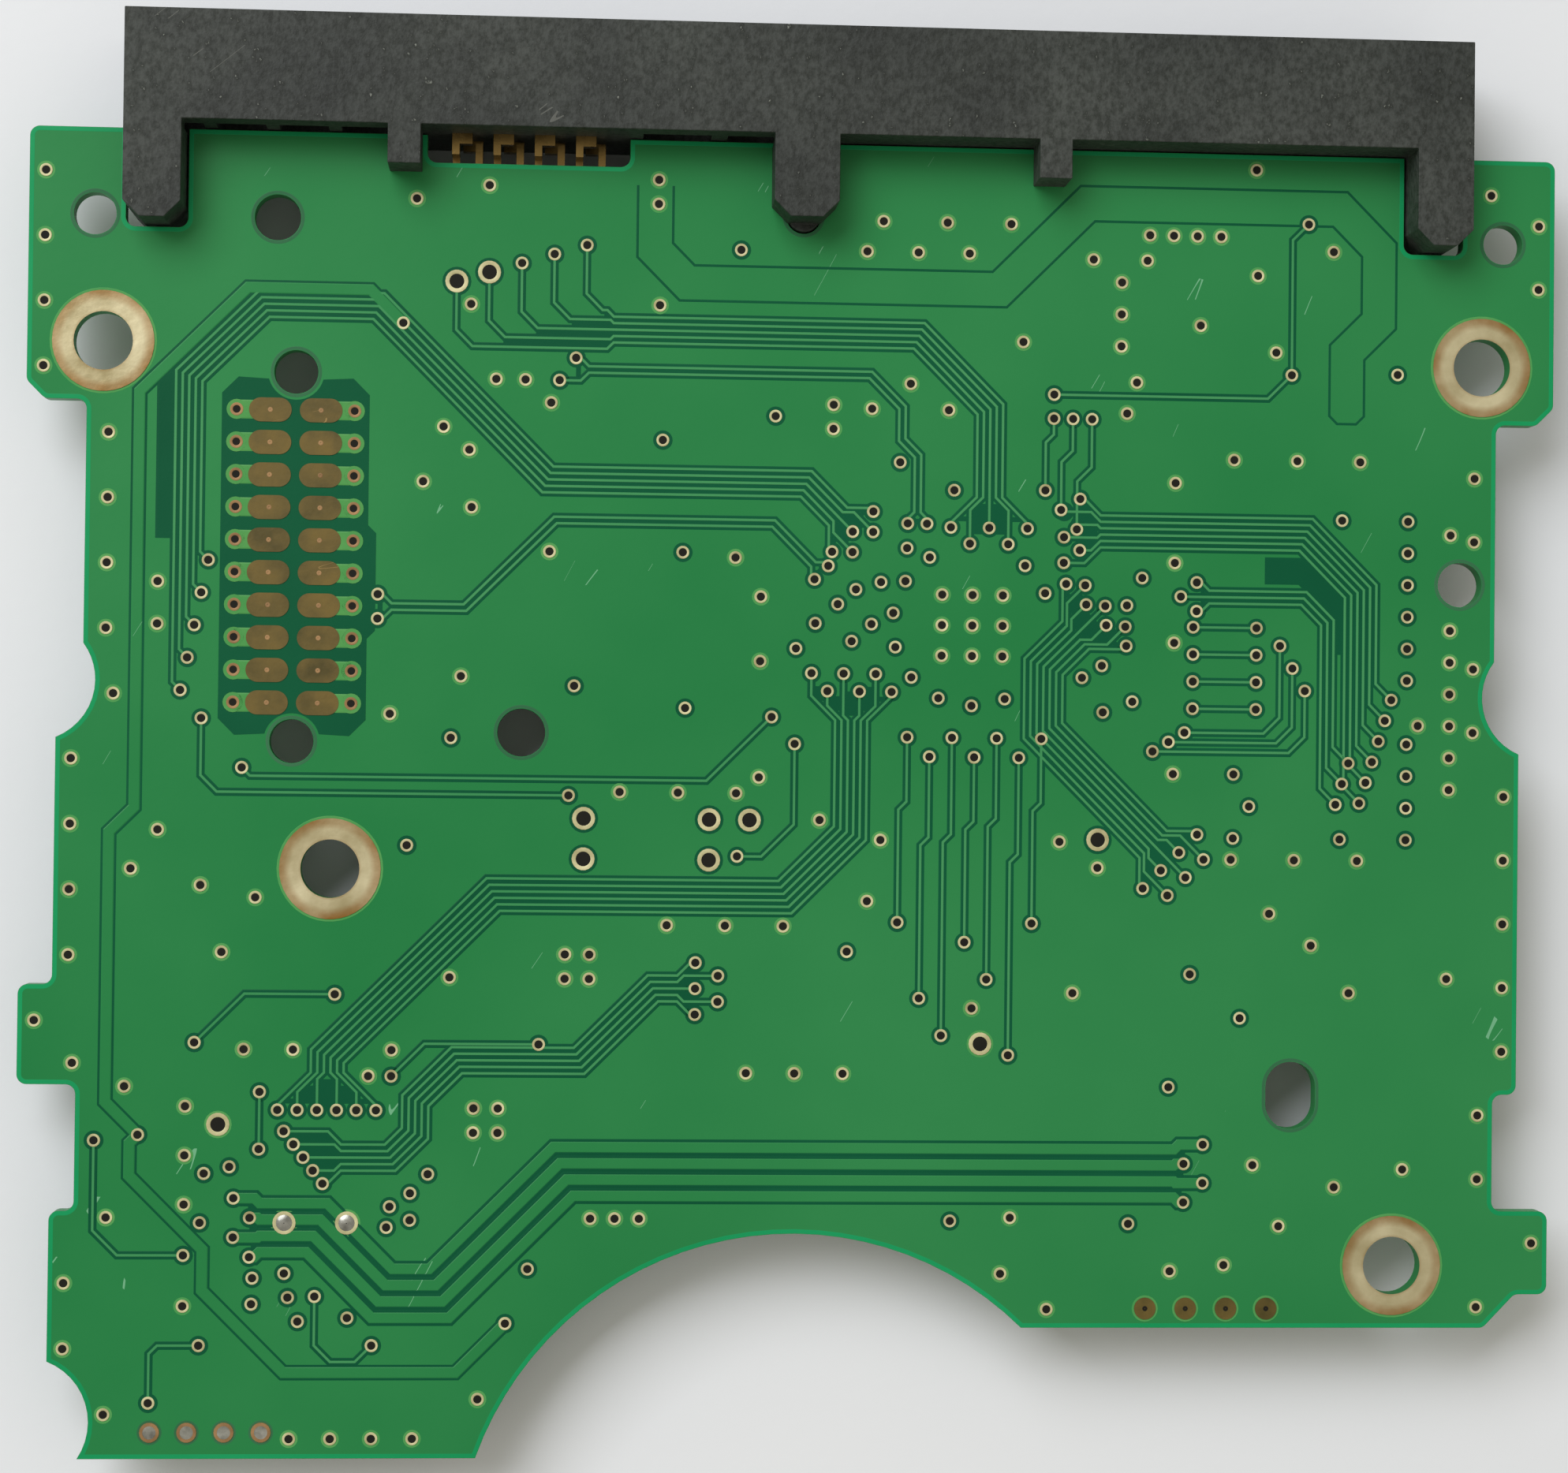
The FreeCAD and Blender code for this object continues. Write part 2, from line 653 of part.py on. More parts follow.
def make_moulding(label, x, y, width, depth, height):
    """A moulded package hanging under the board, its lower rim bevelled."""
    body = doc.addObject("PartDesign::Body", label + "_body")
    place(body, x, y, f"{UNDER} - chip_lift - {height}")
    low, high = (f"-({width}) / 2", f"-({depth}) / 2", "0"), (f"({width}) / 2", f"({depth}) / 2", height)
    block_feature = body_box(body, "Additive", label + "_moulding", low, high)
    doc.recompute()
    rim = [f"Edge{i}" for i, e in enumerate(block_feature.Shape.Edges, start=1)
           if abs(e.BoundBox.ZMax - block_feature.Shape.BoundBox.ZMin) < 1e-6]
    bevel = body.newObject("PartDesign::Chamfer", label + "_bevel")
    bevel.Base = (block_feature, rim)
    bind(bevel, Size="chip_bevel")
    return body


def gull_wing(start, foot_end, body_mid, width, thick):
    """A lead in the plane y = 0 that leaves a package at x = start and ends in a foot at z = 0."""
    foot_start = start + 0.45 * (foot_end - start)
    knee = start + 0.2 * (foot_end - start)
    half = thick / 2
    line = [(start, -body_mid - half), (knee + half, -body_mid - half), (foot_start + half, -thick),
            (foot_end, -thick), (foot_end, 0), (foot_start - half, 0), (knee - half, -body_mid + half),
            (start, -body_mid + half)]
    points = [Vector(x, -width / 2, z) for x, z in line]
    face = Part.Face(Part.makePolygon(points + points[:1]))
    return face.extrude(Vector(0, width, 0))


def make_leads(label, places, sides, pitch, count, width, foot, body_mid):
    """Rows of leads round packages.

    sides gives, for each turn in degrees, the distance to the package's side.
    """
    thick = number("lead_thick")
    leads = []
    for x, y in places:
        for turn, distance in sides:
            for i in range(count):
                lead = gull_wing(distance, distance + foot, body_mid, width, thick)
                lead.translate(Vector(0, (i - (count - 1) / 2) * pitch, 0))
                lead.rotate(Vector(0, 0, 0), Vector(0, 0, 1), turn)
                lead.translate(Vector(number(x), number(y), 0))
                leads.append(lead)
    piece = doc.addObject("Part::Feature", label + "_shape")
    piece.Shape = Part.Compound(leads)
    place(piece, "0", "0", UNDER)
    return keep(piece, label)


def make_thermal_pad(label, x, y, side):
    low = (f"{x} - {side} / 2", f"{y} - {side} / 2", f"{UNDER} - chip_lift")
    high = (f"{x} + {side} / 2", f"{y} + {side} / 2", UNDER)
    keep(block(label + "_block", low, high), label)


CONTROLLER = ("controller_x", from_edge("controller_from_edge"))
MEMORY = ("memory_x", from_edge("memory_from_edge"))
DRIVER = ("-driver_x", from_back("driver_from_back"))
FLASH = ("-flash_x", from_edge("flash_from_edge"))
TRANSISTORS = [("16.6", from_back("18.6")), ("-17.5", from_back("24.5")), ("31.5", from_edge("17.2"))]


def package_middle(height):
    return number("chip_lift") + number(height) / 2


def make_chips():
    keep(make_moulding("controller", *CONTROLLER, "controller_side", "controller_side", "controller_height"),
         "controller_body")
    half = number("controller_side") / 2
    make_leads("controller_leads", [CONTROLLER],
               [(turn, half) for turn in (0, 90, 180, 270)], 0.5, 36, 0.22, 1.0,
               package_middle("controller_height"))
    make_thermal_pad("controller_thermal_pad", *CONTROLLER, "controller_pad_side")

    keep(make_moulding("memory", *MEMORY, "memory_width", "memory_length", "memory_height"), "memory_body")
    half = number("memory_width") / 2
    make_leads("memory_leads", [MEMORY], [(0, half), (180, half)], 0.8, 27, 0.35, 0.8,
               package_middle("memory_height"))

    keep(make_moulding("driver", *DRIVER, "driver_side", "driver_side", "driver_height"), "motor_driver_body")
    half = number("driver_side") / 2
    make_leads("motor_driver_leads", [DRIVER],
               [(turn, half) for turn in (0, 90, 180, 270)], 0.5, 16, 0.22, 1.0,
               package_middle("driver_height"))
    make_thermal_pad("motor_driver_thermal_pad", *DRIVER, "driver_pad_side")

    keep(make_moulding("flash", *FLASH, "flash_width", "flash_length", "flash_height"), "flash_body")
    half = number("flash_width") / 2
    make_leads("flash_leads", [FLASH], [(0, half), (180, half)], 1.27, 4, 0.42, 1.05,
               package_middle("flash_height"))

    bodies = [make_moulding(f"transistor_{i}", x, y, "transistor_width", "transistor_length", "flash_height")
              for i, (x, y) in enumerate(TRANSISTORS)]
    group("power_transistor_bodies", bodies)
    half = number("transistor_width") / 2
    make_leads("power_transistor_leads", TRANSISTORS, [(0, half), (180, half)], 1.27, 4, 0.42, 1.05,
               package_middle("flash_height"))


def make_crystal():
    x, y = "-crystal_x", from_edge("crystal_from_edge")
    low = (f"{x} - crystal_width / 2", f"{y} - crystal_depth / 2", f"{UNDER} - crystal_base_height")
    high = (f"{x} + crystal_width / 2", f"{y} + crystal_depth / 2", UNDER)
    keep(block("crystal_base_block", low, high), "crystal_base")
    rim = "0.2"
    low = (f"{low[0]} + {rim}", f"{low[1]} + {rim}", f"{UNDER} - crystal_base_height - crystal_can_height")
    high = (f"{high[0]} - {rim}", f"{high[1]} - {rim}", f"{UNDER} - crystal_base_height")
    keep(block("crystal_can_block", low, high), "crystal_can")


# --- Two-terminal parts ---------------------------------------------------------------------------

def row(x, y, step_x, step_y, count, turned=False):
    """Evenly spaced places: x as a formula and a shift, y as a formula and a shift."""
    return [(f"({x} + {i * step_x})", f"({y} + {i * step_y})", turned) for i in range(count)]


def oriented_block(name, x, y, turned, along, across, low_z, high_z):
    """A box given by its reach along and across its own axis. A turned part lies along Y."""
    (a0, a1), (c0, c1) = along, across
    if turned:
        return block(name, (f"{x} + {c0}", f"{y} + {a0}", low_z), (f"{x} + {c1}", f"{y} + {a1}", high_z))
    return block(name, (f"{x} + {a0}", f"{y} + {c0}", low_z), (f"{x} + {a1}", f"{y} + {c1}", high_z))


def make_chip_parts(name, places, length, width, height, cap, inset=0.02):
    """Chip parts: bodies between two end caps that are a little larger in section."""
    bodies, caps = [], []
    for i, (x, y, turned) in enumerate(places):
        reach, side = length / 2, width / 2
        bodies.append(oriented_block(f"{name}_body_{i}", x, y, turned, (cap - reach, reach - cap),
                                     (inset - side, side - inset),
                                      f"{UNDER} - {height - inset}", f"{UNDER} - {inset}"))
        for j, start in enumerate((-reach, reach - cap)):
            caps.append(oriented_block(f"{name}_cap_{i}_{j}", x, y, turned,
                                       (start, start + cap), (-side, side),
                                       f"{UNDER} - {height}", UNDER))
    group(f"{name}_bodies", bodies)
    group(f"{name}_terminals", caps)


def make_array_parts(name, places, length, width, height, count, cap=0.3):
    """Resistor arrays: one body, and pairs of terminals along its two long sides."""
    bodies, caps = [], []
    pitch = length / count
    for i, (x, y, turned) in enumerate(places):
        side = width / 2
        bodies.append(oriented_block(f"{name}_body_{i}", x, y, turned, (-length / 2, length / 2),
                                     (cap - side, side - cap), f"{UNDER} - {height}", f"{UNDER} - 0.02"))
        for j in range(count):
            middle = (j - (count - 1) / 2) * pitch
            for k, start in enumerate((-side, side - cap)):
                caps.append(oriented_block(f"{name}_cap_{i}_{j}_{k}", x, y, turned,
                                           (middle - 0.25, middle + 0.25),
                                           (start, start + cap), f"{UNDER} - {height}", UNDER))
    group(f"{name}_bodies", bodies)
    group(f"{name}_terminals", caps)


def make_tabbed_parts(name, places, length, width, height, tab_width, tab=0.2, foot=0.8):
    """Moulded two-lead parts: a body with a metal tab bent under each end."""
    bodies, tabs = [], []
    for i, (x, y, turned) in enumerate(places):
        reach, side, half = length / 2, width / 2, tab_width / 2
        bodies.append(oriented_block(f"{name}_body_{i}", x, y, turned,
                                     (tab - reach, reach - tab), (-side, side),
                                     f"{UNDER} - {height}", f"{UNDER} - {tab}"))
        for j, (outer, inner) in enumerate(((-reach, -reach + foot), (reach - foot, reach))):
            foot_piece = oriented_block(f"{name}_foot_{i}_{j}", x, y, turned, (outer, inner), (-half, half),
                                        f"{UNDER} - {tab}", UNDER)
            riser_low = -reach if j == 0 else reach - tab
            riser = oriented_block(f"{name}_riser_{i}_{j}", x, y, turned,
                                   (riser_low, riser_low + tab), (-half, half),
                                   f"{UNDER} - {height * 0.55}", UNDER)
            tabs.append(fused(f"{name}_tab_{i}_{j}", [foot_piece, riser]))
    group(f"{name}_bodies", bodies)
    group(f"{name}_terminals", tabs)


def make_two_terminal_parts():
    beside_left = "controller_x - controller_side / 2 - 3.2"
    above = f"{CONTROLLER[1]} + controller_side / 2 + 3.4"
    below = f"{CONTROLLER[1]} - controller_side / 2 - 3.4"
    ceramics = (
        row(beside_left, f"{CONTROLLER[1]} - 8", 0, 4.0, 5, True)
        + row("controller_x - 8", above, 4.0, 0, 5)
        + row("controller_x - 8", below, 4.0, 0, 5)
        + row("memory_x - 4", f"{MEMORY[1]} + memory_length / 2 + 1.4", 4.0, 0, 3)
        + row("memory_x - 4", f"{MEMORY[1]} - memory_length / 2 - 1.4", 4.0, 0, 3)
        + row("-driver_x - driver_side / 2 - 3.0", f"{DRIVER[1]} - 4.5", 0, 3.0, 4, True)
        + row("-driver_x - 4.5", f"{DRIVER[1]} + driver_side / 2 + 3.0", 3.0, 0, 4)
        + row("-20.5", from_edge("12.0"), 0, -3.0, 4)
    )
    make_chip_parts("ceramic_capacitor", ceramics, 1.6, 0.8, 0.8, 0.35)
    resistors = (
        row("-15.5", from_edge("12.0"), 0, -3.0, 5)
        + row("-11.0", from_edge("42.0"), 3.6, 0, 5)
        + row("-8.0", from_edge("47.0"), 3.6, 0, 5)
        + row("-37.8", from_edge("20.0"), 0, -2.6, 5, True)
        + row("11.0", from_edge("52.0"), 0, 3.0, 3)
        + row("4.0", from_edge("8.2"), 3.2, 0, 4)
    )
    make_chip_parts("resistor", resistors, 1.6, 0.8, 0.45, 0.3)
    beads = row("18.2", from_edge("8.4"), 3.4, 0, 2) + row("-40.8", from_edge("43.0"), 0, -4.0, 2)
    make_chip_parts("ferrite_bead", beads,
                    2.0, 1.25, 0.9, 0.45)
    make_chip_parts("shock_sensor", [("-37.5", from_back("26.9"), True)], 3.2, 1.8, 1.1, 0.4)
    arrays = row("controller_x + controller_side / 2 + 2.7", f"{CONTROLLER[1]} - 7.5", 0, 5.0, 4, True)
    make_array_parts("resistor_array", arrays, 3.2, 1.6, 0.5, 4)
    tantalums = row("25.0", from_edge("12.4"), 6.4, 0, 2) + row("-16.5", from_back("17.0"), 0, 0, 1)
    make_tabbed_parts("tantalum_capacitor", tantalums,
                      3.5, 2.8, 1.9, 2.2)
    make_tabbed_parts("protection_diode", row("27.0", from_edge("7.6"), 6.4, 0, 2), 4.3, 2.6, 2.1, 1.5)


# --- Power inductors, which also carry the far side of the board ----------------------------------

INDUCTORS = [("-23.0", from_back("4.6")), ("27.0", from_back("13.6"))]


def make_inductors():
    cores, windings, terminals = [], [], []
    core_top = "stand_height - inductor_lift"
    for i, (x, y) in enumerate(INDUCTORS):
        lower = rod(f"inductor_lower_{i}", "inductor_radius", x, y, "0", "inductor_flange")
        column = rod(f"inductor_column_{i}", "inductor_column", x, y, "0", core_top)
        upper = rod(f"inductor_upper_{i}", "inductor_radius", x, y, f"{core_top} - inductor_flange", core_top)
        cores.append(fused(f"inductor_core_{i}", [lower, column, upper]))
        coil_low, coil_high = "inductor_flange", f"{core_top} - inductor_flange"
        coil = rod(f"inductor_coil_{i}", "inductor_radius - inductor_wire_gap", x, y, coil_low, coil_high)
        bore = rod(f"inductor_coil_bore_{i}", "inductor_column", x, y, "0", core_top)
        windings.append(cut(f"inductor_winding_{i}", coil, bore))
        for side in "-+":
            middle = f"({x} {side} (inductor_radius - 0.8))"
            low = (f"{middle} - 0.8", f"{y} - 1.2", core_top)
            high = (f"{middle} + 0.8", f"{y} + 1.2", UNDER)
            terminals.append(block(f"inductor_terminal_{i}_{'ab'[side == '+']}", low, high))
    group("power_inductor_cores", cores)
    group("power_inductor_windings", windings)
    group("power_inductor_terminals", terminals)


def check_document():
    doc.recompute()
    for thing in doc.Objects:
        if "Invalid" in thing.State or "Error" in thing.State:
            raise RuntimeError(f"{thing.Label} failed: {thing.State}")
    for piece in nodes:
        if piece.Shape.isNull() or not piece.Shape.isValid():
            raise RuntimeError(f"{piece.Label} has no valid shape")


def write_parts():
    os.makedirs("parts", exist_ok=True)
    for piece in nodes:
        piece.Shape.exportStep(os.path.join("parts", piece.Label + ".step"))
        box = piece.Shape.BoundBox
        size = f"{box.XLength:.2f} x {box.YLength:.2f} x {box.ZLength:.2f}"
        print(f"{piece.Label}: {len(piece.Shape.Solids)} solids, {size}")


make_board()
make_screw_lands()
make_head_pads()
make_motor_pads()
make_filled_test_holes()
make_connectors()
make_chips()
make_crystal()
make_two_terminal_parts()
make_inductors()
check_document()
write_parts()
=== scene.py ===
# %% [markdown]
# # The controller board of a hard disk drive
# The real object is a green circuit board with a long black connector housing on one edge. The side
# that faces the drive lies upwards. It carries no parts, only copper drawn under green lacquer.
# The shapes that fit other things come from the CAD model, and this lesson adds the looks: the
# copper artwork, the plated holes, the solder, and a finish for each material.

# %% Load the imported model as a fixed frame
import bmesh
import bpy
import json
import math
import random
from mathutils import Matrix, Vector


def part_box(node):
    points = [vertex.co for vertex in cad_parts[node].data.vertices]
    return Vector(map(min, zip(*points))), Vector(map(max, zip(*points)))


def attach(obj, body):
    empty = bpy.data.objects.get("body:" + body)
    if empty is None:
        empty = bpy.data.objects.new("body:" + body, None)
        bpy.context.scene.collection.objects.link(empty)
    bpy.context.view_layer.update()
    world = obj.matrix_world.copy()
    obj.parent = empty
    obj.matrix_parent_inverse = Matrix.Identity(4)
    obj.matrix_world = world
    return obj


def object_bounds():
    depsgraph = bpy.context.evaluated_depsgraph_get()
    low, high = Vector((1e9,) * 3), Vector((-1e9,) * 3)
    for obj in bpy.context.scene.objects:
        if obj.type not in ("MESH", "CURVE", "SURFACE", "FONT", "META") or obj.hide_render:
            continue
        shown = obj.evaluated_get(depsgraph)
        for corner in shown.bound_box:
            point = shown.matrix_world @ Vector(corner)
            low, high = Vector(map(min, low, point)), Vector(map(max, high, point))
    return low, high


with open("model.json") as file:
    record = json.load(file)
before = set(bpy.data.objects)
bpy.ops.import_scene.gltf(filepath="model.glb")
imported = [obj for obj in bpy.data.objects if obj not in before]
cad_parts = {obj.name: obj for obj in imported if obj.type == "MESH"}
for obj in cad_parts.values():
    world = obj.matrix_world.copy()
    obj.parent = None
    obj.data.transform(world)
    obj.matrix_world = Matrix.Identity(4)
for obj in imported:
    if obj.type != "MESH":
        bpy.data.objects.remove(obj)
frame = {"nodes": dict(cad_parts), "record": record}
cad_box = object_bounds()
MM = 0.001
print("nodes:", len(frame["nodes"]))

# %% [markdown]
# ## Where things are
# A board designer works in millimetres from the middle of the board, and places each chip's own
# copper from the chip. The board and the chips are nodes of the frame, so their boxes give both.

# %% Measure the board and the chips


def middle(node):
    low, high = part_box(node)
    return (low + high) / 2


BOARD_LOW, BOARD_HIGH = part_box("board_laminate")
BOARD_MIDDLE = middle("board_laminate")
FACE = BOARD_HIGH.z
UNDERSIDE = BOARD_LOW.z


def on_board(x, y):
    """A place in metres on the plan, from millimetres from the middle of the board."""
    return Vector((BOARD_MIDDLE.x + x * MM, BOARD_MIDDLE.y + y * MM))


def around(node):
    """The middle of a node, in the board's millimetres."""
    return ((middle(node) - BOARD_MIDDLE) / MM).xy


def box_in_mm(node):
    """The two far corners of a node, in the board's millimetres."""
    return [(corner - BOARD_MIDDLE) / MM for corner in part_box(node)]


CONTROLLER = around("controller_body")
MEMORY = around("memory_body")
DRIVER = around("motor_driver_body")
for chip in (CONTROLLER, MEMORY, DRIVER):
    print("chip at", round(chip.x, 2), round(chip.y, 2))

# %% [markdown]
# ## Node groups shared by the finishes
# Real surfaces are never one flat colour. Slow drift, fine specks and hair scratches turn up in
# almost every material here, so each is a node group with its own inputs, built once. A group puts
# out only masks, and each material decides what the mask does to its colour, gloss or bump.

# %% Helpers that wire nodes together


def feed(tree, value, socket):
    """Sets a socket to a value, or links it where the value is a socket itself."""
    if isinstance(value, bpy.types.NodeSocket):
        tree.links.new(value, socket)
    else:
        socket.default_value = value


def add(tree, kind, **values):
    """A node, with its settings and its inputs given by name."""
    node = tree.nodes.new(kind)
    for label, value in values.items():
        if hasattr(node, label):
            setattr(node, label, value)
        else:
            feed(tree, value, node.inputs[label])
    return node


def compute(tree, operation, *values, kind="ShaderNodeMath", **settings):
    """The result of a math node whose inputs are values or sockets."""
    node = add(tree, kind, operation=operation, **settings)
    for value, socket in zip(values, node.inputs):
        feed(tree, value, socket)
    return node.outputs[0]


def own_place(tree):
    """Where a point lies on its piece, in metres."""
    return add(tree, "ShaderNodeTexCoord").outputs["Object"]


def ramp(tree, source, *stops):
    """Turns a value into a grey. Each stop is a value and its grey."""
    node = add(tree, "ShaderNodeValToRGB", Fac=source)
    elements = node.color_ramp.elements
    while len(elements) < len(stops):
        elements.new(0.5)
    for element, (position, grey) in zip(elements, stops):
        element.position = position
        element.color = (grey, grey, grey, 1.0)
    return node.outputs["Color"]


def new_group(name, inputs):
    """A node group, with the sockets of its inputs and of its one mask."""
    group = bpy.data.node_groups.new(name, "ShaderNodeTree")
    for label, value in inputs.items():
        socket = group.interface.new_socket(label, in_out="INPUT", socket_type="NodeSocketFloat")
        socket.default_value = value
    group.interface.new_socket("Mask", in_out="OUTPUT", socket_type="NodeSocketFloat")
    ins = add(group, "NodeGroupInput").outputs
    return group, ins, add(group, "NodeGroupOutput").inputs["Mask"]


# %% Slow drift of colour


def make_drift_group():
    group, ins, mask = new_group("Slow drift", {"Size": 60.0, "Contrast": 1.0})
    noise = add(group, "ShaderNodeTexNoise", Vector=own_place(group), Scale=ins["Size"],
                Detail=4.0, Roughness=0.55)
    centred = compute(group, "SUBTRACT", noise.outputs["Fac"], 0.5)
    scaled = compute(group, "MULTIPLY", centred, ins["Contrast"])
    feed(group, compute(group, "ADD", scaled, 0.5, use_clamp=True), mask)
    return group


DRIFT = make_drift_group()

# %% Fine specks, such as glass fibre and dust


def make_speck_group():
    group, ins, mask = new_group("Fine specks", {"Size": 3000.0, "Amount": 0.3})
    cells = add(group, "ShaderNodeTexVoronoi", feature="F1", Vector=own_place(group),
                Scale=ins["Size"])
    feed(group, compute(group, "LESS_THAN", cells.outputs["Distance"], ins["Amount"]), mask)
    return group


SPECKS = make_speck_group()

# %% Hair scratches, each a thin slice through a stretched noise
STRETCH = (1.0, 0.06, 1.0)
SLICE = 0.62
RARE_PATCH = 0.74


def make_scratch_group():
    group, ins, mask = new_group("Hair scratches", {"Size": 120.0, "Width": 0.004, "Turn": 0.6})
    place = own_place(group)
    turned = add(group, "ShaderNodeVectorRotate", rotation_type="Z_AXIS", Vector=place,
                 Angle=ins["Turn"])
    long = compute(group, "MULTIPLY", turned.outputs["Vector"], STRETCH, kind="ShaderNodeVectorMath")
    lines = add(group, "ShaderNodeTexNoise", Vector=long, Scale=ins["Size"], Detail=1.0)
    near = compute(group, "COMPARE", lines.outputs["Fac"], SLICE, ins["Width"])
    patches = add(group, "ShaderNodeTexNoise", Vector=place, Scale=330.0, Detail=0.0)
    rare = compute(group, "GREATER_THAN", patches.outputs["Fac"], RARE_PATCH)
    feed(group, compute(group, "MULTIPLY", near, rare), mask)
    return group


SCRATCHES = make_scratch_group()


def place_group(tree, group, **values):
    return add(tree, "ShaderNodeGroup", node_tree=group, **values).outputs["Mask"]


# %% [markdown]
# ## One recipe for every finish
# Each finish here is a base colour that drifts between two tones, specks or scratches of a third
# tone, a roughness that follows the same drift, and a fine bump. Only the values differ, so one
# function builds them and each finish is a short call with a plain name.

# %% The recipe
COAT_ROUGHNESS = 0.12
GRAIN_STRENGTH = 0.6


def srgb(red, green, blue):
    """A colour given as it looks on a screen, as the linear value that the shader wants."""
    def line(value):
        value = value / 255
        return value / 12.92 if value <= 0.04045 else ((value + 0.055) / 1.055) ** 2.4
    return (line(red), line(green), line(blue), 1.0)


def mix_colour(tree, mask, low, high, blend="MIX"):
    """Mixes two colours. Each is a socket, or red, green and blue as they look on a screen."""
    node = add(tree, "ShaderNodeMix", data_type="RGBA", blend_type=blend)
    feed(tree, mask, node.inputs[0])
    for colour, socket in ((low, node.inputs[6]), (high, node.inputs[7])):
        feed(tree, srgb(*colour) if isinstance(colour, tuple) else colour, socket)
    return node.outputs[2]


def new_material(name):
    material = bpy.data.materials.new(name)
    material.use_nodes = True
    return material, material.node_tree, material.node_tree.nodes["Principled BSDF"]


def add_relief(tree, shader, height, strength, depth):
    relief = add(tree, "ShaderNodeBump", Strength=strength, Distance=depth, Height=height)
    feed(tree, relief.outputs["Normal"], shader.inputs["Normal"])


def make_finish(name, dark, light, bump, drift=60.0, contrast=1.5, specks=None, scratches=None,
                rough=(0.4, 0.5), metal=0.0, coat=0.0, specular=0.5):
    material, tree, shader = new_material(name)
    slow = place_group(tree, DRIFT, Size=drift, Contrast=contrast)
    colour = mix_colour(tree, slow, dark, light)
    if specks:
        size, amount, tone = specks
        mask = place_group(tree, SPECKS, Size=size, Amount=amount)
        colour = mix_colour(tree, mask, colour, tone)
    if scratches:
        size, width, turn, tone = scratches
        mask = place_group(tree, SCRATCHES, Size=size, Width=width, Turn=turn)
        colour = mix_colour(tree, mask, colour, tone)
    feed(tree, colour, shader.inputs["Base Color"])
    feed(tree, ramp(tree, slow, (0.0, rough[0]), (1.0, rough[1])), shader.inputs["Roughness"])
    shader.inputs["Metallic"].default_value = metal
    shader.inputs["Specular IOR Level"].default_value = specular
    if coat:
        shader.inputs["Coat Weight"].default_value = coat
        shader.inputs["Coat Roughness"].default_value = COAT_ROUGHNESS
    size, depth = bump
    grain = add(tree, "ShaderNodeTexNoise", Vector=own_place(tree), Scale=size, Detail=3.0)
    add_relief(tree, shader, grain.outputs["Fac"], GRAIN_STRENGTH, depth)
    return material


# %% [markdown]
# ## The finishes of this board
# The lacquer is one coat, but its green depends on what lies under it. Over copper it is a middle
# green, over bare glass laminate it is darker, and along a cut edge light comes in from the side.

# %% Lacquer over copper, over bare laminate and at the rim
FINE_GRAIN = (5200.0, 0.000006)
SOFT_GRAIN = (2600.0, 0.000006)


def make_lacquer(name, dark, light, bump, specular=0.14, **more):
    """Every green comes from the same coat, so all have the same gloss."""
    return make_finish(name, dark, light, bump, rough=(0.3, 0.42), specular=specular, **more)


LACQUER_POUR = make_lacquer(
    "lacquer_over_copper", (22, 116, 60), (52, 136, 78), (1400.0, 0.00001), drift=26.0,
    contrast=1.6, scratches=(420.0, 0.0022, 0.5, (110, 172, 132)))
LACQUER_TRACK = make_lacquer(
    "lacquer_over_track", (48, 132, 78), (76, 150, 96), SOFT_GRAIN, drift=40.0)
LACQUER_GAP = make_lacquer(
    "lacquer_over_laminate", (2, 76, 48), (8, 90, 58), FINE_GRAIN, drift=60.0, specular=0.12)
# Painted light: the rim is painted a brighter green, for the light that comes in through the cut edge of
# the laminate.
LACQUER_RIM_PAINTED_GLOW = make_lacquer(
    "lacquer_at_rim_painted_glow", (12, 136, 80), (26, 156, 96), FINE_GRAIN, drift=80.0)
LACQUER_HOLE = make_lacquer(
    "lacquer_at_holes", (34, 92, 58), (60, 116, 80), FINE_GRAIN, drift=80.0)
LACQUER_HALO = make_lacquer(
    "lacquer_over_ring", (60, 142, 76), (92, 160, 90), SOFT_GRAIN, drift=300.0)
LACQUER_TAB = make_lacquer(
    "lacquer_over_tab", (62, 142, 74), (92, 156, 84), SOFT_GRAIN, drift=300.0, contrast=2.0)

# %% Metals
GOLD_PAD = make_finish(
    "gold_plate", (74, 64, 20), (112, 92, 36), drift=420.0, contrast=2.6,
    scratches=(900.0, 0.0025, 1.3, (150, 122, 70)), rough=(0.4, 0.6), metal=0.25,
    bump=(3000.0, 0.000012))
VIA_GOLD = make_finish(
    "via_plating", (164, 156, 112), (216, 210, 164), drift=700.0, contrast=2.4,
    rough=(0.35, 0.5), metal=0.15, bump=(5000.0, 0.00001))
TIN_LAND = make_finish(
    "tinned_land", (158, 144, 102), (206, 196, 160), drift=300.0, contrast=2.4,
    scratches=(700.0, 0.006, 0.2, (176, 150, 96)), rough=(0.3, 0.5), metal=0.45,
    bump=(1800.0, 0.00003))
SOLDER = make_finish(
    "solder", (96, 96, 92), (196, 196, 188), drift=900.0, contrast=2.0,
    rough=(0.22, 0.42), metal=0.85, bump=(2600.0, 0.00002))
# Painted shade: these contacts stand in the connector's slot, so their gold is painted darker than open
# gold, for the shade there.
SHADED_CONTACT_GOLD = make_finish(
    "contact_gold", (112, 90, 50), (162, 134, 82), drift=500.0,
    scratches=(900.0, 0.004, 0.1, (240, 220, 160)), rough=(0.2, 0.34), metal=0.95,
    bump=(4000.0, 0.000006))
TIN_LEAD = make_finish(
    "tin_plate", (168, 168, 164), (206, 206, 202), drift=900.0, contrast=2.0,
    rough=(0.28, 0.44), metal=0.85, bump=(4000.0, 0.000008))
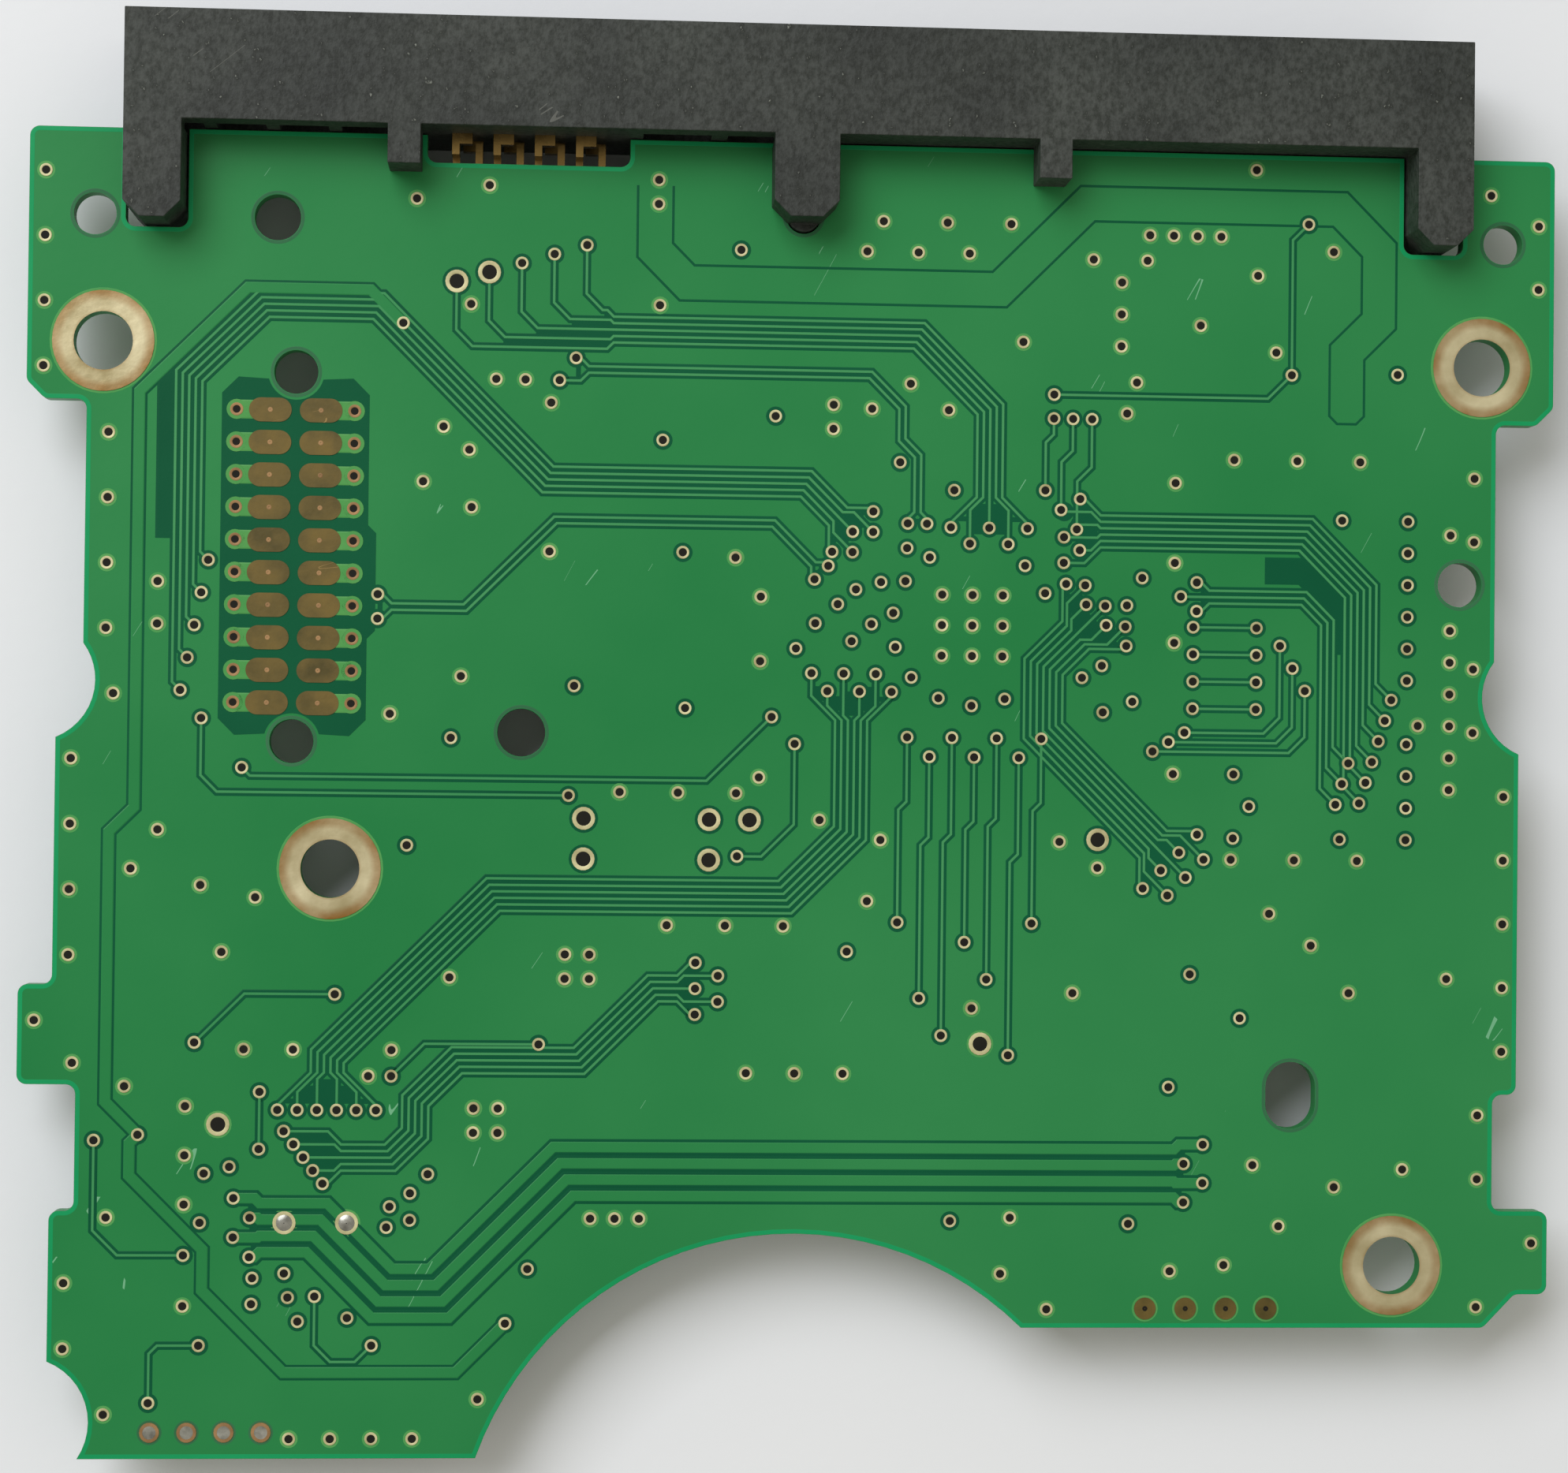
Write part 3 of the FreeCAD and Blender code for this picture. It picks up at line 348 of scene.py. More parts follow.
NICKEL_CAN = make_finish(
    "nickel_can", (176, 172, 160), (206, 202, 190), drift=500.0,
    scratches=(500.0, 0.005, 0.0, (226, 224, 216)), rough=(0.2, 0.32), metal=0.95,
    bump=(2600.0, 0.000008))
COPPER_WIRE = make_finish(
    "enamelled_copper", (150, 72, 34), (196, 104, 54), drift=900.0,
    rough=(0.2, 0.32), metal=0.8, coat=0.5, bump=(5200.0, 0.000008))

# %% Plastics, ceramics and the dark bores
CHIP_BLACK = make_finish(
    "chip_moulding", (26, 26, 28), (42, 42, 44), drift=200.0,
    specks=(5200.0, 0.2, (60, 60, 60)), rough=(0.5, 0.66), bump=(4200.0, 0.00002))
DARK_CERAMIC = make_finish(
    "dark_ceramic", (28, 28, 32), (48, 48, 52), drift=600.0,
    rough=(0.32, 0.5), coat=0.2, bump=(5200.0, 0.00001))
TAN_CERAMIC = make_finish(
    "tan_ceramic", (150, 116, 80), (186, 150, 110), drift=500.0, contrast=2.0,
    specks=(6200.0, 0.14, (120, 90, 60)), rough=(0.42, 0.58), bump=(5200.0, 0.00001))
FERRITE = make_finish(
    "ferrite", (40, 40, 42), (62, 62, 64), drift=400.0, contrast=2.0,
    specks=(4200.0, 0.18, (84, 84, 86)), rough=(0.5, 0.7), bump=(2600.0, 0.00004))
AMBER_MOULDING = make_finish(
    "amber_moulding", (196, 140, 46), (220, 168, 76), drift=400.0,
    specks=(5200.0, 0.12, (176, 120, 36)), rough=(0.42, 0.56), bump=(3600.0, 0.00002))
BORE_DARK = make_finish(
    "bore_shadow", (12, 12, 10), (30, 28, 20), drift=900.0,
    rough=(0.6, 0.8), bump=(2600.0, 0.00001), specular=0.2)
print("materials:", len(bpy.data.materials))

# %% [markdown]
# ## The black connector plastic
# It is a polymer filled with chopped glass fibre. The fibres show as a fine streaky grain, the
# mould leaves smoky lighter patches, and a few fibre ends glint, as painted highlights. A coarse
# noise makes the patches, a fine one the grain and the painted glints, and a few scuffs lie over them.

# %% Glass-filled polymer


def make_housing_finish():
    material, tree, shader = new_material("glass_filled_polymer")
    smoke = place_group(tree, DRIFT, Size=90.0, Contrast=2.4)
    colour = mix_colour(tree, smoke, (42, 46, 45), (72, 76, 73))
    along = compute(tree, "MULTIPLY", own_place(tree), (1.0, 0.7, 1.0), kind="ShaderNodeVectorMath")
    fibres = add(tree, "ShaderNodeTexNoise", Vector=along, Scale=2600.0, Detail=3.0, Roughness=0.7)
    grain = ramp(tree, fibres.outputs["Fac"], (0.38, 0.0), (0.66, 1.0))
    colour = mix_colour(tree, grain, colour, (112, 116, 110), blend="SOFT_LIGHT")
    # Painted highlights: where the fibre noise peaks, the colour is painted lighter, as glints off fibre
    # ends.
    painted_glints = ramp(tree, fibres.outputs["Fac"], (0.68, 0.0), (0.76, 1.0))
    colour = mix_colour(tree, painted_glints, colour, (120, 124, 118))
    scuffs = place_group(tree, SCRATCHES, Size=500.0, Width=0.004, Turn=0.9)
    colour = mix_colour(tree, scuffs, colour, (88, 90, 86))
    feed(tree, colour, shader.inputs["Base Color"])
    feed(tree, ramp(tree, smoke, (0.0, 0.5), (1.0, 0.66)), shader.inputs["Roughness"])
    shader.inputs["Specular IOR Level"].default_value = 0.3
    add_relief(tree, shader, fibres.outputs["Fac"], 0.7, 0.00006)
    return material


HOUSING_BLACK = make_housing_finish()

# %% [markdown]
# ## Drawing copper
# A track is a strip of copper a fifth of a millimetre wide with a bare strip on each side of it.
# Curves with a bevel would do, but their corners swell, so here each strip is swept by hand with
# mitred corners and has a flat top and sloping sides, as etched copper has. The bare strip lies
# first and the track on it, and each next strip is a hair higher, so no two faces share a plane.

# %% Sweep a strip along a route
GAP = 0.17
TRACK = 0.17
PITCH = 0.4
GAP_HEIGHT = 0.004
TRACK_HEIGHT = 0.022
STEP_UP = 0.00002
DISC_SIDES = 20
SHARPEST_MITRE = 0.35


def offset_line(points, shift):
    """The route moved sideways by shift, with mitred corners. Left of travel is positive."""
    moved = []
    for index, point in enumerate(points):
        ways = []
        if index > 0:
            ways.append((point - points[index - 1]).normalized())
        if index < len(points) - 1:
            ways.append((points[index + 1] - point).normalized())
        normals = [Vector((-way.y, way.x)) for way in ways]
        bisector = sum(normals, Vector((0.0, 0.0))).normalized()
        moved.append(point + bisector * (shift / max(bisector.dot(normals[0]), SHARPEST_MITRE)))
    return moved


class Layer:
    """A mesh that grows strip by strip, each a hair higher on the board than the last."""

    def __init__(self, name, height, material, slot):
        self.name = name
        self.bm = bmesh.new()
        self.height = height
        self.material = material
        self.slot = slot
        self.count = 0

    def level(self):
        self.count += 1
        return FACE + (self.height + self.count * STEP_UP) * MM

    def strip(self, points, width, closed=False):
        """A solid strip along points, with its sides sloping in by a tenth of its width."""
        top = self.level()
        route = [Vector(point) for point in points]
        shifts = (-0.5 * width, -0.4 * width, 0.4 * width, 0.5 * width)
        heights = (FACE, top, top, FACE)
        if closed:
            route = [route[-1]] + route + [route[0]]
        lines = []
        for shift, height in zip(shifts, heights):
            line = offset_line(route, shift)
            line = line[1:-1] if closed else line
            lines.append([self.bm.verts.new((*on_board(p.x, p.y), height)) for p in line])
        count = len(lines[0])
        for index in range(count if closed else count - 1):
            after = (index + 1) % count
            for side in range(4):
                other = (side + 1) % 4
                corners = (lines[side][index], lines[other][index], lines[other][after],
                           lines[side][after])
                self.bm.faces.new(corners)
        if not closed:
            self.bm.faces.new([line[0] for line in lines])
            self.bm.faces.new([line[-1] for line in reversed(lines)])

    def patch(self, points):
        """A thin solid with a flat top, over a closed outline."""
        top = self.level()
        upper = [self.bm.verts.new((*on_board(*point), top)) for point in points]
        lower = [self.bm.verts.new((*on_board(*point), FACE)) for point in points]
        self.bm.faces.new(upper)
        self.bm.faces.new(lower[::-1])
        for index in range(len(points)):
            after = (index + 1) % len(points)
            self.bm.faces.new((upper[index], lower[index], lower[after], upper[after]))

    def disc(self, centre, radius):
        turns = [2 * math.pi * k / DISC_SIDES for k in range(DISC_SIDES)]
        self.patch([(centre[0] + radius * math.cos(t), centre[1] + radius * math.sin(t)) for t in turns])

    def finish(self):
        finish_piece(self.name, self.bm, self.material)


def finish_piece(name, bm, material, smooth=None):
    bmesh.ops.recalc_face_normals(bm, faces=bm.faces)
    mesh = bpy.data.meshes.new(name)
    bm.to_mesh(mesh)
    bm.free()
    mesh.materials.append(material)
    piece = bpy.data.objects.new(name, mesh)
    bpy.context.scene.collection.objects.link(piece)
    if smooth:
        mesh.polygons.foreach_set("use_smooth", [True] * len(mesh.polygons))
        mesh.set_sharp_from_angle(angle=math.radians(smooth))
    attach(piece, "root")
    print(name, len(mesh.polygons), "faces")


gaps = Layer("bare_laminate_gaps", GAP_HEIGHT, LACQUER_GAP, "mask_green")
halos = Layer("lacquer_halos", 0.002, LACQUER_HALO, "mask_green")
tracks = Layer("copper_tracks", TRACK_HEIGHT, LACQUER_TRACK, "mask_green")
wide_tracks = Layer("wide_copper_tracks", TRACK_HEIGHT + 0.004, LACQUER_POUR, "mask_green")
small_vias = []
large_vias = []

# %% [markdown]
# ## Routes drawn as walks
# A board maker routes along eight compass ways, so every corner turns by 45 degrees. A route here
# is a walk: where it starts, then how far it goes each way, mostly in whole and half millimetres. The
# artwork is laid out round the chips, so each walk starts from the middle of a part near it.

# %% Compass ways and the parts that the copper serves
EAST, NORTH, WEST, SOUTH = (1, 0), (0, 1), (-1, 0), (0, -1)
NORTH_EAST, NORTH_WEST, SOUTH_WEST, SOUTH_EAST = (1, 1), (-1, 1), (-1, -1), (1, -1)
HEADS = around("head_contact_pads")
pads_low, pads_high = box_in_mm("head_contact_pads")


def walk(start, *legs):
    """The corners of a route. A slanting leg goes its length along both axes."""
    points = [Vector(start)]
    for way, far in legs:
        points.append(points[-1] + Vector(way) * far)
    return points


# %% [markdown]
# ## Tracks, buses and plated holes
# Most tracks run side by side in a bus. Only its middle line is chosen. Each lane is that line
# moved sideways by one pitch, and at both ends the lanes fan out to one plated hole each.

# %% A track with its holes
VIA_RADIUS = 0.43
LARGE_VIA_RADIUS = 0.72
WIDE_TRACK = 0.7
FINE_GAP = 0.13
HALO = 0.12
STRAIGHT_END = 0.3
SHORTEST_LEG = 0.05
drawn = []


def track(points, width=TRACK, gap=GAP):
    drawn.append((points, width / 2 + gap))
    gaps.strip(points, width + 2 * gap)
    (wide_tracks if width > TRACK else tracks).strip(points, width)


def bare(points, width):
    """A broad strip without copper, on which no hole is put."""
    drawn.append((points, width / 2))
    gaps.strip(points, width)


def keep_via(x, y, radius):
    (large_vias if radius > VIA_RADIUS else small_vias).append((x, y))


def signal_via(x, y, radius=VIA_RADIUS):
    """A hole on a track, with bare laminate all round its ring."""
    gaps.disc((x, y), radius + GAP)
    keep_via(x, y, radius)


def plane_via(x, y, radius=VIA_RADIUS):
    """A hole that joins the copper planes, so copper goes on round its ring."""
    halos.disc((x, y), radius + HALO)
    keep_via(x, y, radius)


def joined(points, width=TRACK, gap=GAP):
    """A track that ends in a plated hole at both ends."""
    track(points, width, gap)
    signal_via(*points[0])
    signal_via(*points[-1])


# %% A bus whose lanes fan out at both ends


def fan(tip, way, side, lanes, pitch, spread=1.0, slope=0.0, stagger=0.0, tail=()):
    """For each lane, the points from the bus to its own hole: aside, then straight on, then tail.

    spread is how far apart the holes are, slope and stagger how much further each next or each
    second one is.
    """
    middle_lane = (lanes - 1) / 2
    furthest = middle_lane * abs(spread - pitch)
    fanned = []
    for lane in range(lanes):
        aside = (middle_lane - lane) * (spread - pitch)
        turn = tip + side * (middle_lane - lane) * spread + way * abs(aside)
        order = lane if slope > 0 else lanes - 1 - lane
        run = furthest - abs(aside) + abs(slope) * order + stagger * (lane % 2) + STRAIGHT_END
        points = [turn, turn + way * run]
        for compass, far in tail:
            points.append(points[-1] + Vector(compass) * far)
        fanned.append(points)
    return fanned


def bare_between(fanned):
    """Where lanes spread, no sliver of copper is left between them: most of the area is bare."""
    for first, second in zip(fanned, fanned[1:]):
        reach = min((lane[1] - lane[0]).length for lane in (first, second))
        way = (first[1] - first[0]).normalized()
        middle_start = (first[0] + second[0]) / 2
        if reach > 0.1:
            width = 0.75 * (first[0] - second[0]).length
            gaps.strip([middle_start, middle_start + way * reach], width)


def bus(route, lanes, start, end, pitch=PITCH, width=TRACK, gap=GAP):
    """Lanes side by side, the first one on the left of travel. Gives the holes where they start."""
    back = (route[0] - route[1]).normalized()
    ahead = (route[-1] - route[-2]).normalized()
    starts = fan(route[0], back, Vector((back.y, -back.x)), lanes, pitch, **start)
    ends = fan(route[-1], ahead, Vector((-ahead.y, ahead.x)), lanes, pitch, **end)
    bare_between(starts)
    bare_between(ends)
    for lane in range(lanes):
        shift = ((lanes - 1) / 2 - lane) * pitch
        points = []
        for point in starts[lane][::-1] + offset_line(route, shift) + ends[lane]:
            if not points or (point - points[-1]).length > SHORTEST_LEG:
                points.append(point)
        joined(points, width, gap)
    return [points[-1] for points in starts]


# %% [markdown]
# ## From the head contacts to the controller
# The signals of the read heads leave the contact field on its left, right and lower sides. The
# left ones go round it in a chamfered loop, and all run towards the controller. A wide track, for the
# coil that moves the arm, lies outside the loop and goes on below, past the motor driver.

# %% The loop round the head contacts
coil = walk((HEADS.x + 6.5, HEADS.y + 14.5), (NORTH_WEST, 2), (WEST, 7.5), (SOUTH_WEST, 6.5),
            (SOUTH, 25.5), (SOUTH_WEST, 1.5), (SOUTH, 16.5), (SOUTH_EAST, 2))
joined(coil, WIDE_TRACK, FINE_GAP)
joined(walk(coil[-1], (SOUTH_WEST, 0.5), (SOUTH, 2), (SOUTH_EAST, 4.5), (SOUTH, 2.5), (SOUTH_EAST, 5),
            (EAST, 10.5), (NORTH_EAST, 3)), WIDE_TRACK, FINE_GAP)
bus(walk((HEADS.x - 6.5, HEADS.y + 0.5), (NORTH, 10.5), (NORTH_EAST, 4.5), (EAST, 7),
         (SOUTH_EAST, 10.5), (EAST, 16), (SOUTH_EAST, 2)), 5,
    start=dict(spread=0.4, slope=-2, tail=[(SOUTH_EAST, 0.5)]), end=dict(spread=0.9, stagger=0.9))
bare(walk((HEADS.x - 7.8, HEADS.y + 1), (NORTH, 9.5), (NORTH_EAST, 1)), 1.3)
bus(walk((HEADS.x + 6, HEADS.y - 3), (EAST, 4.5), (NORTH_EAST, 5.5), (EAST, 13.5), (SOUTH_EAST, 2.5)),
    2, start=dict(spread=1.5), end=dict(spread=1.2))
joined(walk((HEADS.x - 3, HEADS.y - 13), (SOUTH_EAST, 0.5), (EAST, 28), (NORTH_EAST, 4)))
joined(walk((HEADS.x - 5.5, HEADS.y - 10), (SOUTH, 3.5), (SOUTH_EAST, 1), (EAST, 21.5)))
print("small holes so far:", len(small_vias))

# %% [markdown]
# ## From the connector to the controller
# Lanes leave the holes under the jumpers and come down on the controller's top side. The supply
# crosses the board as one broad band, of which only the edge is drawn, as a thin bare line.

# %% The lanes above the controller
JUMPER_LANES = 5
jumper_holes = bus(
    walk((CONTROLLER.x - 22.5, CONTROLLER.y + 18), (EAST, 19), (SOUTH_EAST, 4.5), (SOUTH, 5.5)),
    JUMPER_LANES, start=dict(spread=0.6, slope=2, tail=[(NORTH_WEST, 1), (NORTH, 3)]),
    end=dict(spread=1.2, stagger=1))
for place in jumper_holes[-2:]:
    signal_via(*place, LARGE_VIA_RADIUS)
bus(walk((CONTROLLER.x - 24, CONTROLLER.y + 15.5), (EAST, 17.5), (SOUTH_EAST, 2), (SOUTH, 2),
         (SOUTH_EAST, 1), (SOUTH, 3.5)), 2, start=dict(spread=1.4, slope=1), end=dict(spread=1.2))
for reach in range(3):
    joined(walk((CONTROLLER.x + 5 + 1.2 * reach, CONTROLLER.y + 13), (SOUTH, 1 + reach),
                (SOUTH_WEST, 0.5 + 0.2 * reach), (SOUTH, 3)))
far_hole = walk((CONTROLLER.x + 5, CONTROLLER.y + 14.5), (EAST, 13.5), (NORTH_EAST, 1.5), (NORTH, 8.5),
                (NORTH_EAST, 1))
joined(far_hole)
signal_via(*far_hole[2])

# %% The broad supply band
BAND_WIDTH = 2.2
BAND_LINE = 0.16
band = walk((CONTROLLER.x - 20, CONTROLLER.y + 27), (SOUTH, 4), (SOUTH_EAST, 2), (EAST, 19.5),
            (NORTH_EAST, 5.5), (EAST, 16), (SOUTH_EAST, 2.5), (SOUTH, 4.5), (SOUTH_WEST, 2), (SOUTH, 4))
band_sides = [offset_line(band, side * BAND_WIDTH / 2) for side in (1, -1)]
band_end = walk(band_sides[1][-1], (SOUTH_EAST, 0.5))[1:] + walk(band_sides[0][-1], (SOUTH_WEST, 0.5))[1:]
gaps.strip(band_sides[1] + band_end + band_sides[0][::-1], BAND_LINE)
for side in band_sides:
    drawn.append((side, BAND_LINE))

# %% [markdown]
# ## Between the controller and the memory
# The data lanes leave the controller to the right. One bundle crosses the upper end of the memory
# and goes down along its far leads, with a short bundle inside it, and a third slants towards its
# lower near corner. Short rungs and three loops lie over the memory itself.

# %% Three bundles to the memory, and the rungs and loops over it
FAR_SIDE = dict(spread=0.4, slope=1.3, tail=[(SOUTH_EAST, 1)])
bare(walk((MEMORY.x - 2, MEMORY.y + 7.2), (EAST, 2.5), (SOUTH_EAST, 2.2), (SOUTH, 3)), 1.7)
bus(walk((CONTROLLER.x + 8, CONTROLLER.y + 6), (EAST, 13), (SOUTH_EAST, 3.5), (SOUTH, 5.5)), 6,
    start=dict(spread=0.8, stagger=1), end=FAR_SIDE)
bus(walk((MEMORY.x - 5.5, MEMORY.y + 5.5), (EAST, 6), (SOUTH_EAST, 1.5), (SOUTH, 7.5)), 3,
    start=dict(spread=0.9, stagger=1), end=FAR_SIDE)
bus(walk((CONTROLLER.x + 6.5, CONTROLLER.y - 0.5), (SOUTH_WEST, 2), (SOUTH, 4), (SOUTH_EAST, 7)), 7,
    start=dict(spread=0.9, stagger=0.8), end=dict(spread=0.8, stagger=1.4))
for rung in range(4):
    joined(walk((MEMORY.x - 6.5, MEMORY.y - 1.5 + 1.7 * rung), (EAST, 4)))
for loop in range(3):
    joined(walk((MEMORY.x - 7 - loop, MEMORY.y - 3 - 0.6 * loop), (EAST, 5 + 1.8 * loop),
                (NORTH_EAST, 1), (NORTH, 4.5 - 0.8 * loop)))

# %% [markdown]
# ## Below the controller
# A row of lanes goes straight down to the parts of the power supply. Two bundles bend to the left,
# and carry the motor driver's control signals and its feedback across the board.

# %% The row of lanes, and the bundles to the motor driver
for lane in range(7):
    joined(walk((CONTROLLER.x - 4 + 1.4 * lane, CONTROLLER.y - 7 - 1.2 * (lane % 2)), (SOUTH, 4 + lane % 3),
                (SOUTH_WEST, 0.5), (SOUTH, 7 + 2.5 * (lane % 3))))
bus(walk((CONTROLLER.x - 7.5, CONTROLLER.y - 6), (SOUTH, 7), (SOUTH_WEST, 4), (WEST, 18),
         (SOUTH_WEST, 10), (SOUTH, 1)), 6, start=dict(spread=1, stagger=1.1), end=dict(spread=1.2))
joined(walk((CONTROLLER.x - 11, CONTROLLER.y - 7.5), (SOUTH, 5), (SOUTH_WEST, 2), (WEST, 1.5)))
bus(walk((DRIVER.x + 22, DRIVER.y + 13.5), (WEST, 1.5), (SOUTH_WEST, 4.5), (WEST, 7.5),
         (SOUTH_WEST, 2.5), (SOUTH, 2), (SOUTH_WEST, 1.5), (WEST, 3)), 5,
    start=dict(spread=0.8, stagger=1.4), end=dict(spread=0.8, slope=0.6))
joined(walk((DRIVER.x - 7.5, DRIVER.y + 10), (NORTH_EAST, 3), (EAST, 5.5)))
joined(walk((DRIVER.x - 3.5, DRIVER.y + 7), (SOUTH, 3.5)))
joined(walk((DRIVER.x + 4.5, DRIVER.y + 8), (NORTH_EAST, 2), (EAST, 7)))
joined(walk((DRIVER.x - 13.5, DRIVER.y + 4), (SOUTH, 5.5), (SOUTH_EAST, 1.5), (EAST, 4)))
joined(walk((DRIVER.x - 7, DRIVER.y - 8.5), (WEST, 2.5), (SOUTH_WEST, 0.5), (SOUTH, 3)))
joined(walk((DRIVER.x, DRIVER.y - 5.5), (SOUTH, 3), (SOUTH_EAST, 1), (EAST, 1.5), (NORTH_EAST, 1)))

# %% The four wide motor lanes
bus(walk((CONTROLLER.x + 13, CONTROLLER.y - 34), (WEST, 38), (SOUTH_WEST, 7.5), (WEST, 3.5),
         (NORTH_WEST, 4), (WEST, 3.5)), 4,
    start=dict(spread=1.2, stagger=1.2), end=dict(spread=1.2, stagger=1), pitch=1, width=0.7, gap=0.15)
print("small holes so far:", len(small_vias))

# %% [markdown]
# ## Plated holes that stand alone
# Most of the other holes join the copper planes, and some lead to a track on the other side. A
# designer drops one wherever a part needs its ground, along the board's edge, and then over any
# large area without tracks. The script does the same. It tests each place before it puts a hole
# there, except for the motor driver's two large holes.

# %% Is there room for a hole here?
EDGE_ROOM = 0.9
HOLE_ROOM = 1.25
LARGE_EXTRA = 0.4
TRACK_ROOM = 0.05
FIELD_ROOM_X, FIELD_ROOM_Y = 3, 3.5
ABOVE_ALL = cad_box[1][2] + 0.01
BELOW_BOARD = UNDERSIDE - 0.02
SAME_LEVEL = 0.05 * MM
graph = bpy.context.evaluated_depsgraph_get()


def first_met(x, y, z, way):
    """The piece that a vertical line meets first, and where."""
    start = Vector((*on_board(x, y), z))
    hit, point, normal, index, owner, matrix = bpy.context.scene.ray_cast(graph, start, (0, 0, way))
    return (owner.name if hit else None), point


def on_laminate(x, y):
    name, point = first_met(x, y, ABOVE_ALL, -1)
    return name == "board_laminate" and FACE - point.z < SAME_LEVEL


def is_free(x, y, radius=VIA_RADIUS, apart=HOLE_ROOM):
    here = Vector((x, y))
    extra = radius - VIA_RADIUS
    beside = pads_low.x - FIELD_ROOM_X < x < pads_high.x + FIELD_ROOM_X
    if beside and pads_low.y - FIELD_ROOM_Y < y < pads_high.y + FIELD_ROOM_Y:
        return False
    if any(math.dist(here, hole) < apart + extra for hole in small_vias):
        return False
    if any(math.dist(here, hole) < apart + LARGE_EXTRA + extra for hole in large_vias):
        return False
    for points, reach in drawn:
        for first, second in zip(points, points[1:]):
            along = second - first
            part = min(max((here - first).dot(along) / along.length_squared, 0.0), 1.0)
            if (here - first - along * part).length < radius + reach + TRACK_ROOM:
                return False
    turns = [math.radians(45 * k) for k in range(8)]
    room = radius + EDGE_ROOM - VIA_RADIUS
    return on_laminate(x, y) and all(
        on_laminate(x + room * math.cos(t), y + room * math.sin(t)) for t in turns)


def stitch(x, y, make=plane_via, radius=VIA_RADIUS, apart=HOLE_ROOM):
    if is_free(x, y, radius, apart):
        make(x, y, radius)
        return True
    return False


def grid(middle, columns, rows, pitch, make=plane_via, radius=VIA_RADIUS):
    for column in range(columns):
        for level in range(rows):
            stitch(middle[0] + (column - (columns - 1) / 2) * pitch,
                   middle[1] + (level - (rows - 1) / 2) * pitch, make, radius)


# %% Heat grids, and the large holes of the parts with pins
grid(CONTROLLER, 3, 3, 1.9)
grid((CONTROLLER.x - 15, CONTROLLER.y - 13.5), 2, 2, 2.5, signal_via, LARGE_VIA_RADIUS)
grid((CONTROLLER.x - 24, CONTROLLER.y - 13.5), 1, 2, 2.5, signal_via, LARGE_VIA_RADIUS)
grid((CONTROLLER.x + 8, CONTROLLER.y - 12), 1, 2, 2.5, signal_via, LARGE_VIA_RADIUS)
grid((CONTROLLER.x + 2, CONTROLLER.y - 26), 2, 1, 2.5, plane_via, LARGE_VIA_RADIUS)
driver_holes = [(DRIVER.x + side * 1.9, DRIVER.y - 1.0) for side in (-1, 1)]
for place in driver_holes:
    plane_via(*place, LARGE_VIA_RADIUS)
stitch(DRIVER.x - 6, DRIVER.y + 5, plane_via, LARGE_VIA_RADIUS)

# %% Rings of holes under and round the leads of two chips, and columns along the memory's leads
RING_STEPS = 44
RING_OFFSET = 1.3
MEMORY_LEVELS = 11


def ring_of_holes(chip, radius):
    """Holes round a chip's middle, each next one further out, three steps and then back in."""
    for step in range(RING_STEPS):
        turn = 2 * math.pi * step / RING_STEPS
        reach = radius + RING_OFFSET * (step % 3)
        stitch(chip.x + reach * math.cos(turn), chip.y + reach * math.sin(turn), signal_via)


ring_of_holes(CONTROLLER, 5)
ring_of_holes(CONTROLLER, 8.5)
ring_of_holes(DRIVER, 4.5)
memory_low, memory_high = box_in_mm("memory_leads")
for level in range(MEMORY_LEVELS):
    y = memory_low.y + 1 + 2 * level
    for x in (memory_low.x + 2 + level % 2, memory_high.x + 1.2, memory_high.x - 3):
        stitch(x, y, signal_via)

# %% Short rows and small grids, on a grid of half a millimetre
for middle_of, columns, rows, pitch in (
        ((24, 35.5), 4, 1, 1.5), ((9, 36), 3, 1, 4), ((-9, 37.5), 1, 2, 1.5), ((2, 24.5), 1, 3, 1.5),
        ((20, 30.5), 1, 3, 2), ((21, 25.5), 1, 2, 1.5), ((-13.5, -10.5), 2, 2, 1.5),
        ((-19, -20), 2, 2, 1.5), ((-11, -26), 3, 1, 1.5), ((0, -17), 3, 1, 3), ((40, 9), 2, 9, 2),
        ((-27, -39.5), 4, 1, 2.5), ((41, 37.5), 2, 1, 1.5)):
    grid(middle_of, columns, rows, pitch)

# %% One hole beside each small part on the other side, where there is room
WELD = 0.000002


def welded(node):
    """A copy of a node's mesh, with its split corners joined again."""
    bm = bmesh.new()
    bm.from_mesh(frame["nodes"][node].data)
    bmesh.ops.remove_doubles(bm, verts=bm.verts, dist=WELD)
    return bm


def pieces_of(node):
    """The middle of each loose solid in a node, in the board's millimetres."""
    bm = welded(node)
    left, middles = set(bm.verts), []
    while left:
        group, edge = set(), [next(iter(left))]
        while edge:
            vert = edge.pop()
            if vert in left:
                left.discard(vert)
                group.add(vert)
                edge += [link.other_vert(vert) for link in vert.link_edges]
        xs, ys = [vert.co.x for vert in group], [vert.co.y for vert in group]
        middles.append((((min(xs) + max(xs)) / 2 - BOARD_MIDDLE.x) / MM,
                        ((min(ys) + max(ys)) / 2 - BOARD_MIDDLE.y) / MM))
    bm.free()
    return sorted(middles)


BESIDE = 1.6
for node in ("ceramic_capacitor_bodies", "resistor_bodies", "ferrite_bead_bodies",
             "tantalum_capacitor_bodies", "protection_diode_bodies", "resistor_array_bodies"):
    places = pieces_of(node)
    for x, y in places:
        for aside, up in (NORTH, EAST, SOUTH, WEST):
            if stitch(x + BESIDE * aside, y + BESIDE * up):
                break
    print(node, len(places), "parts")

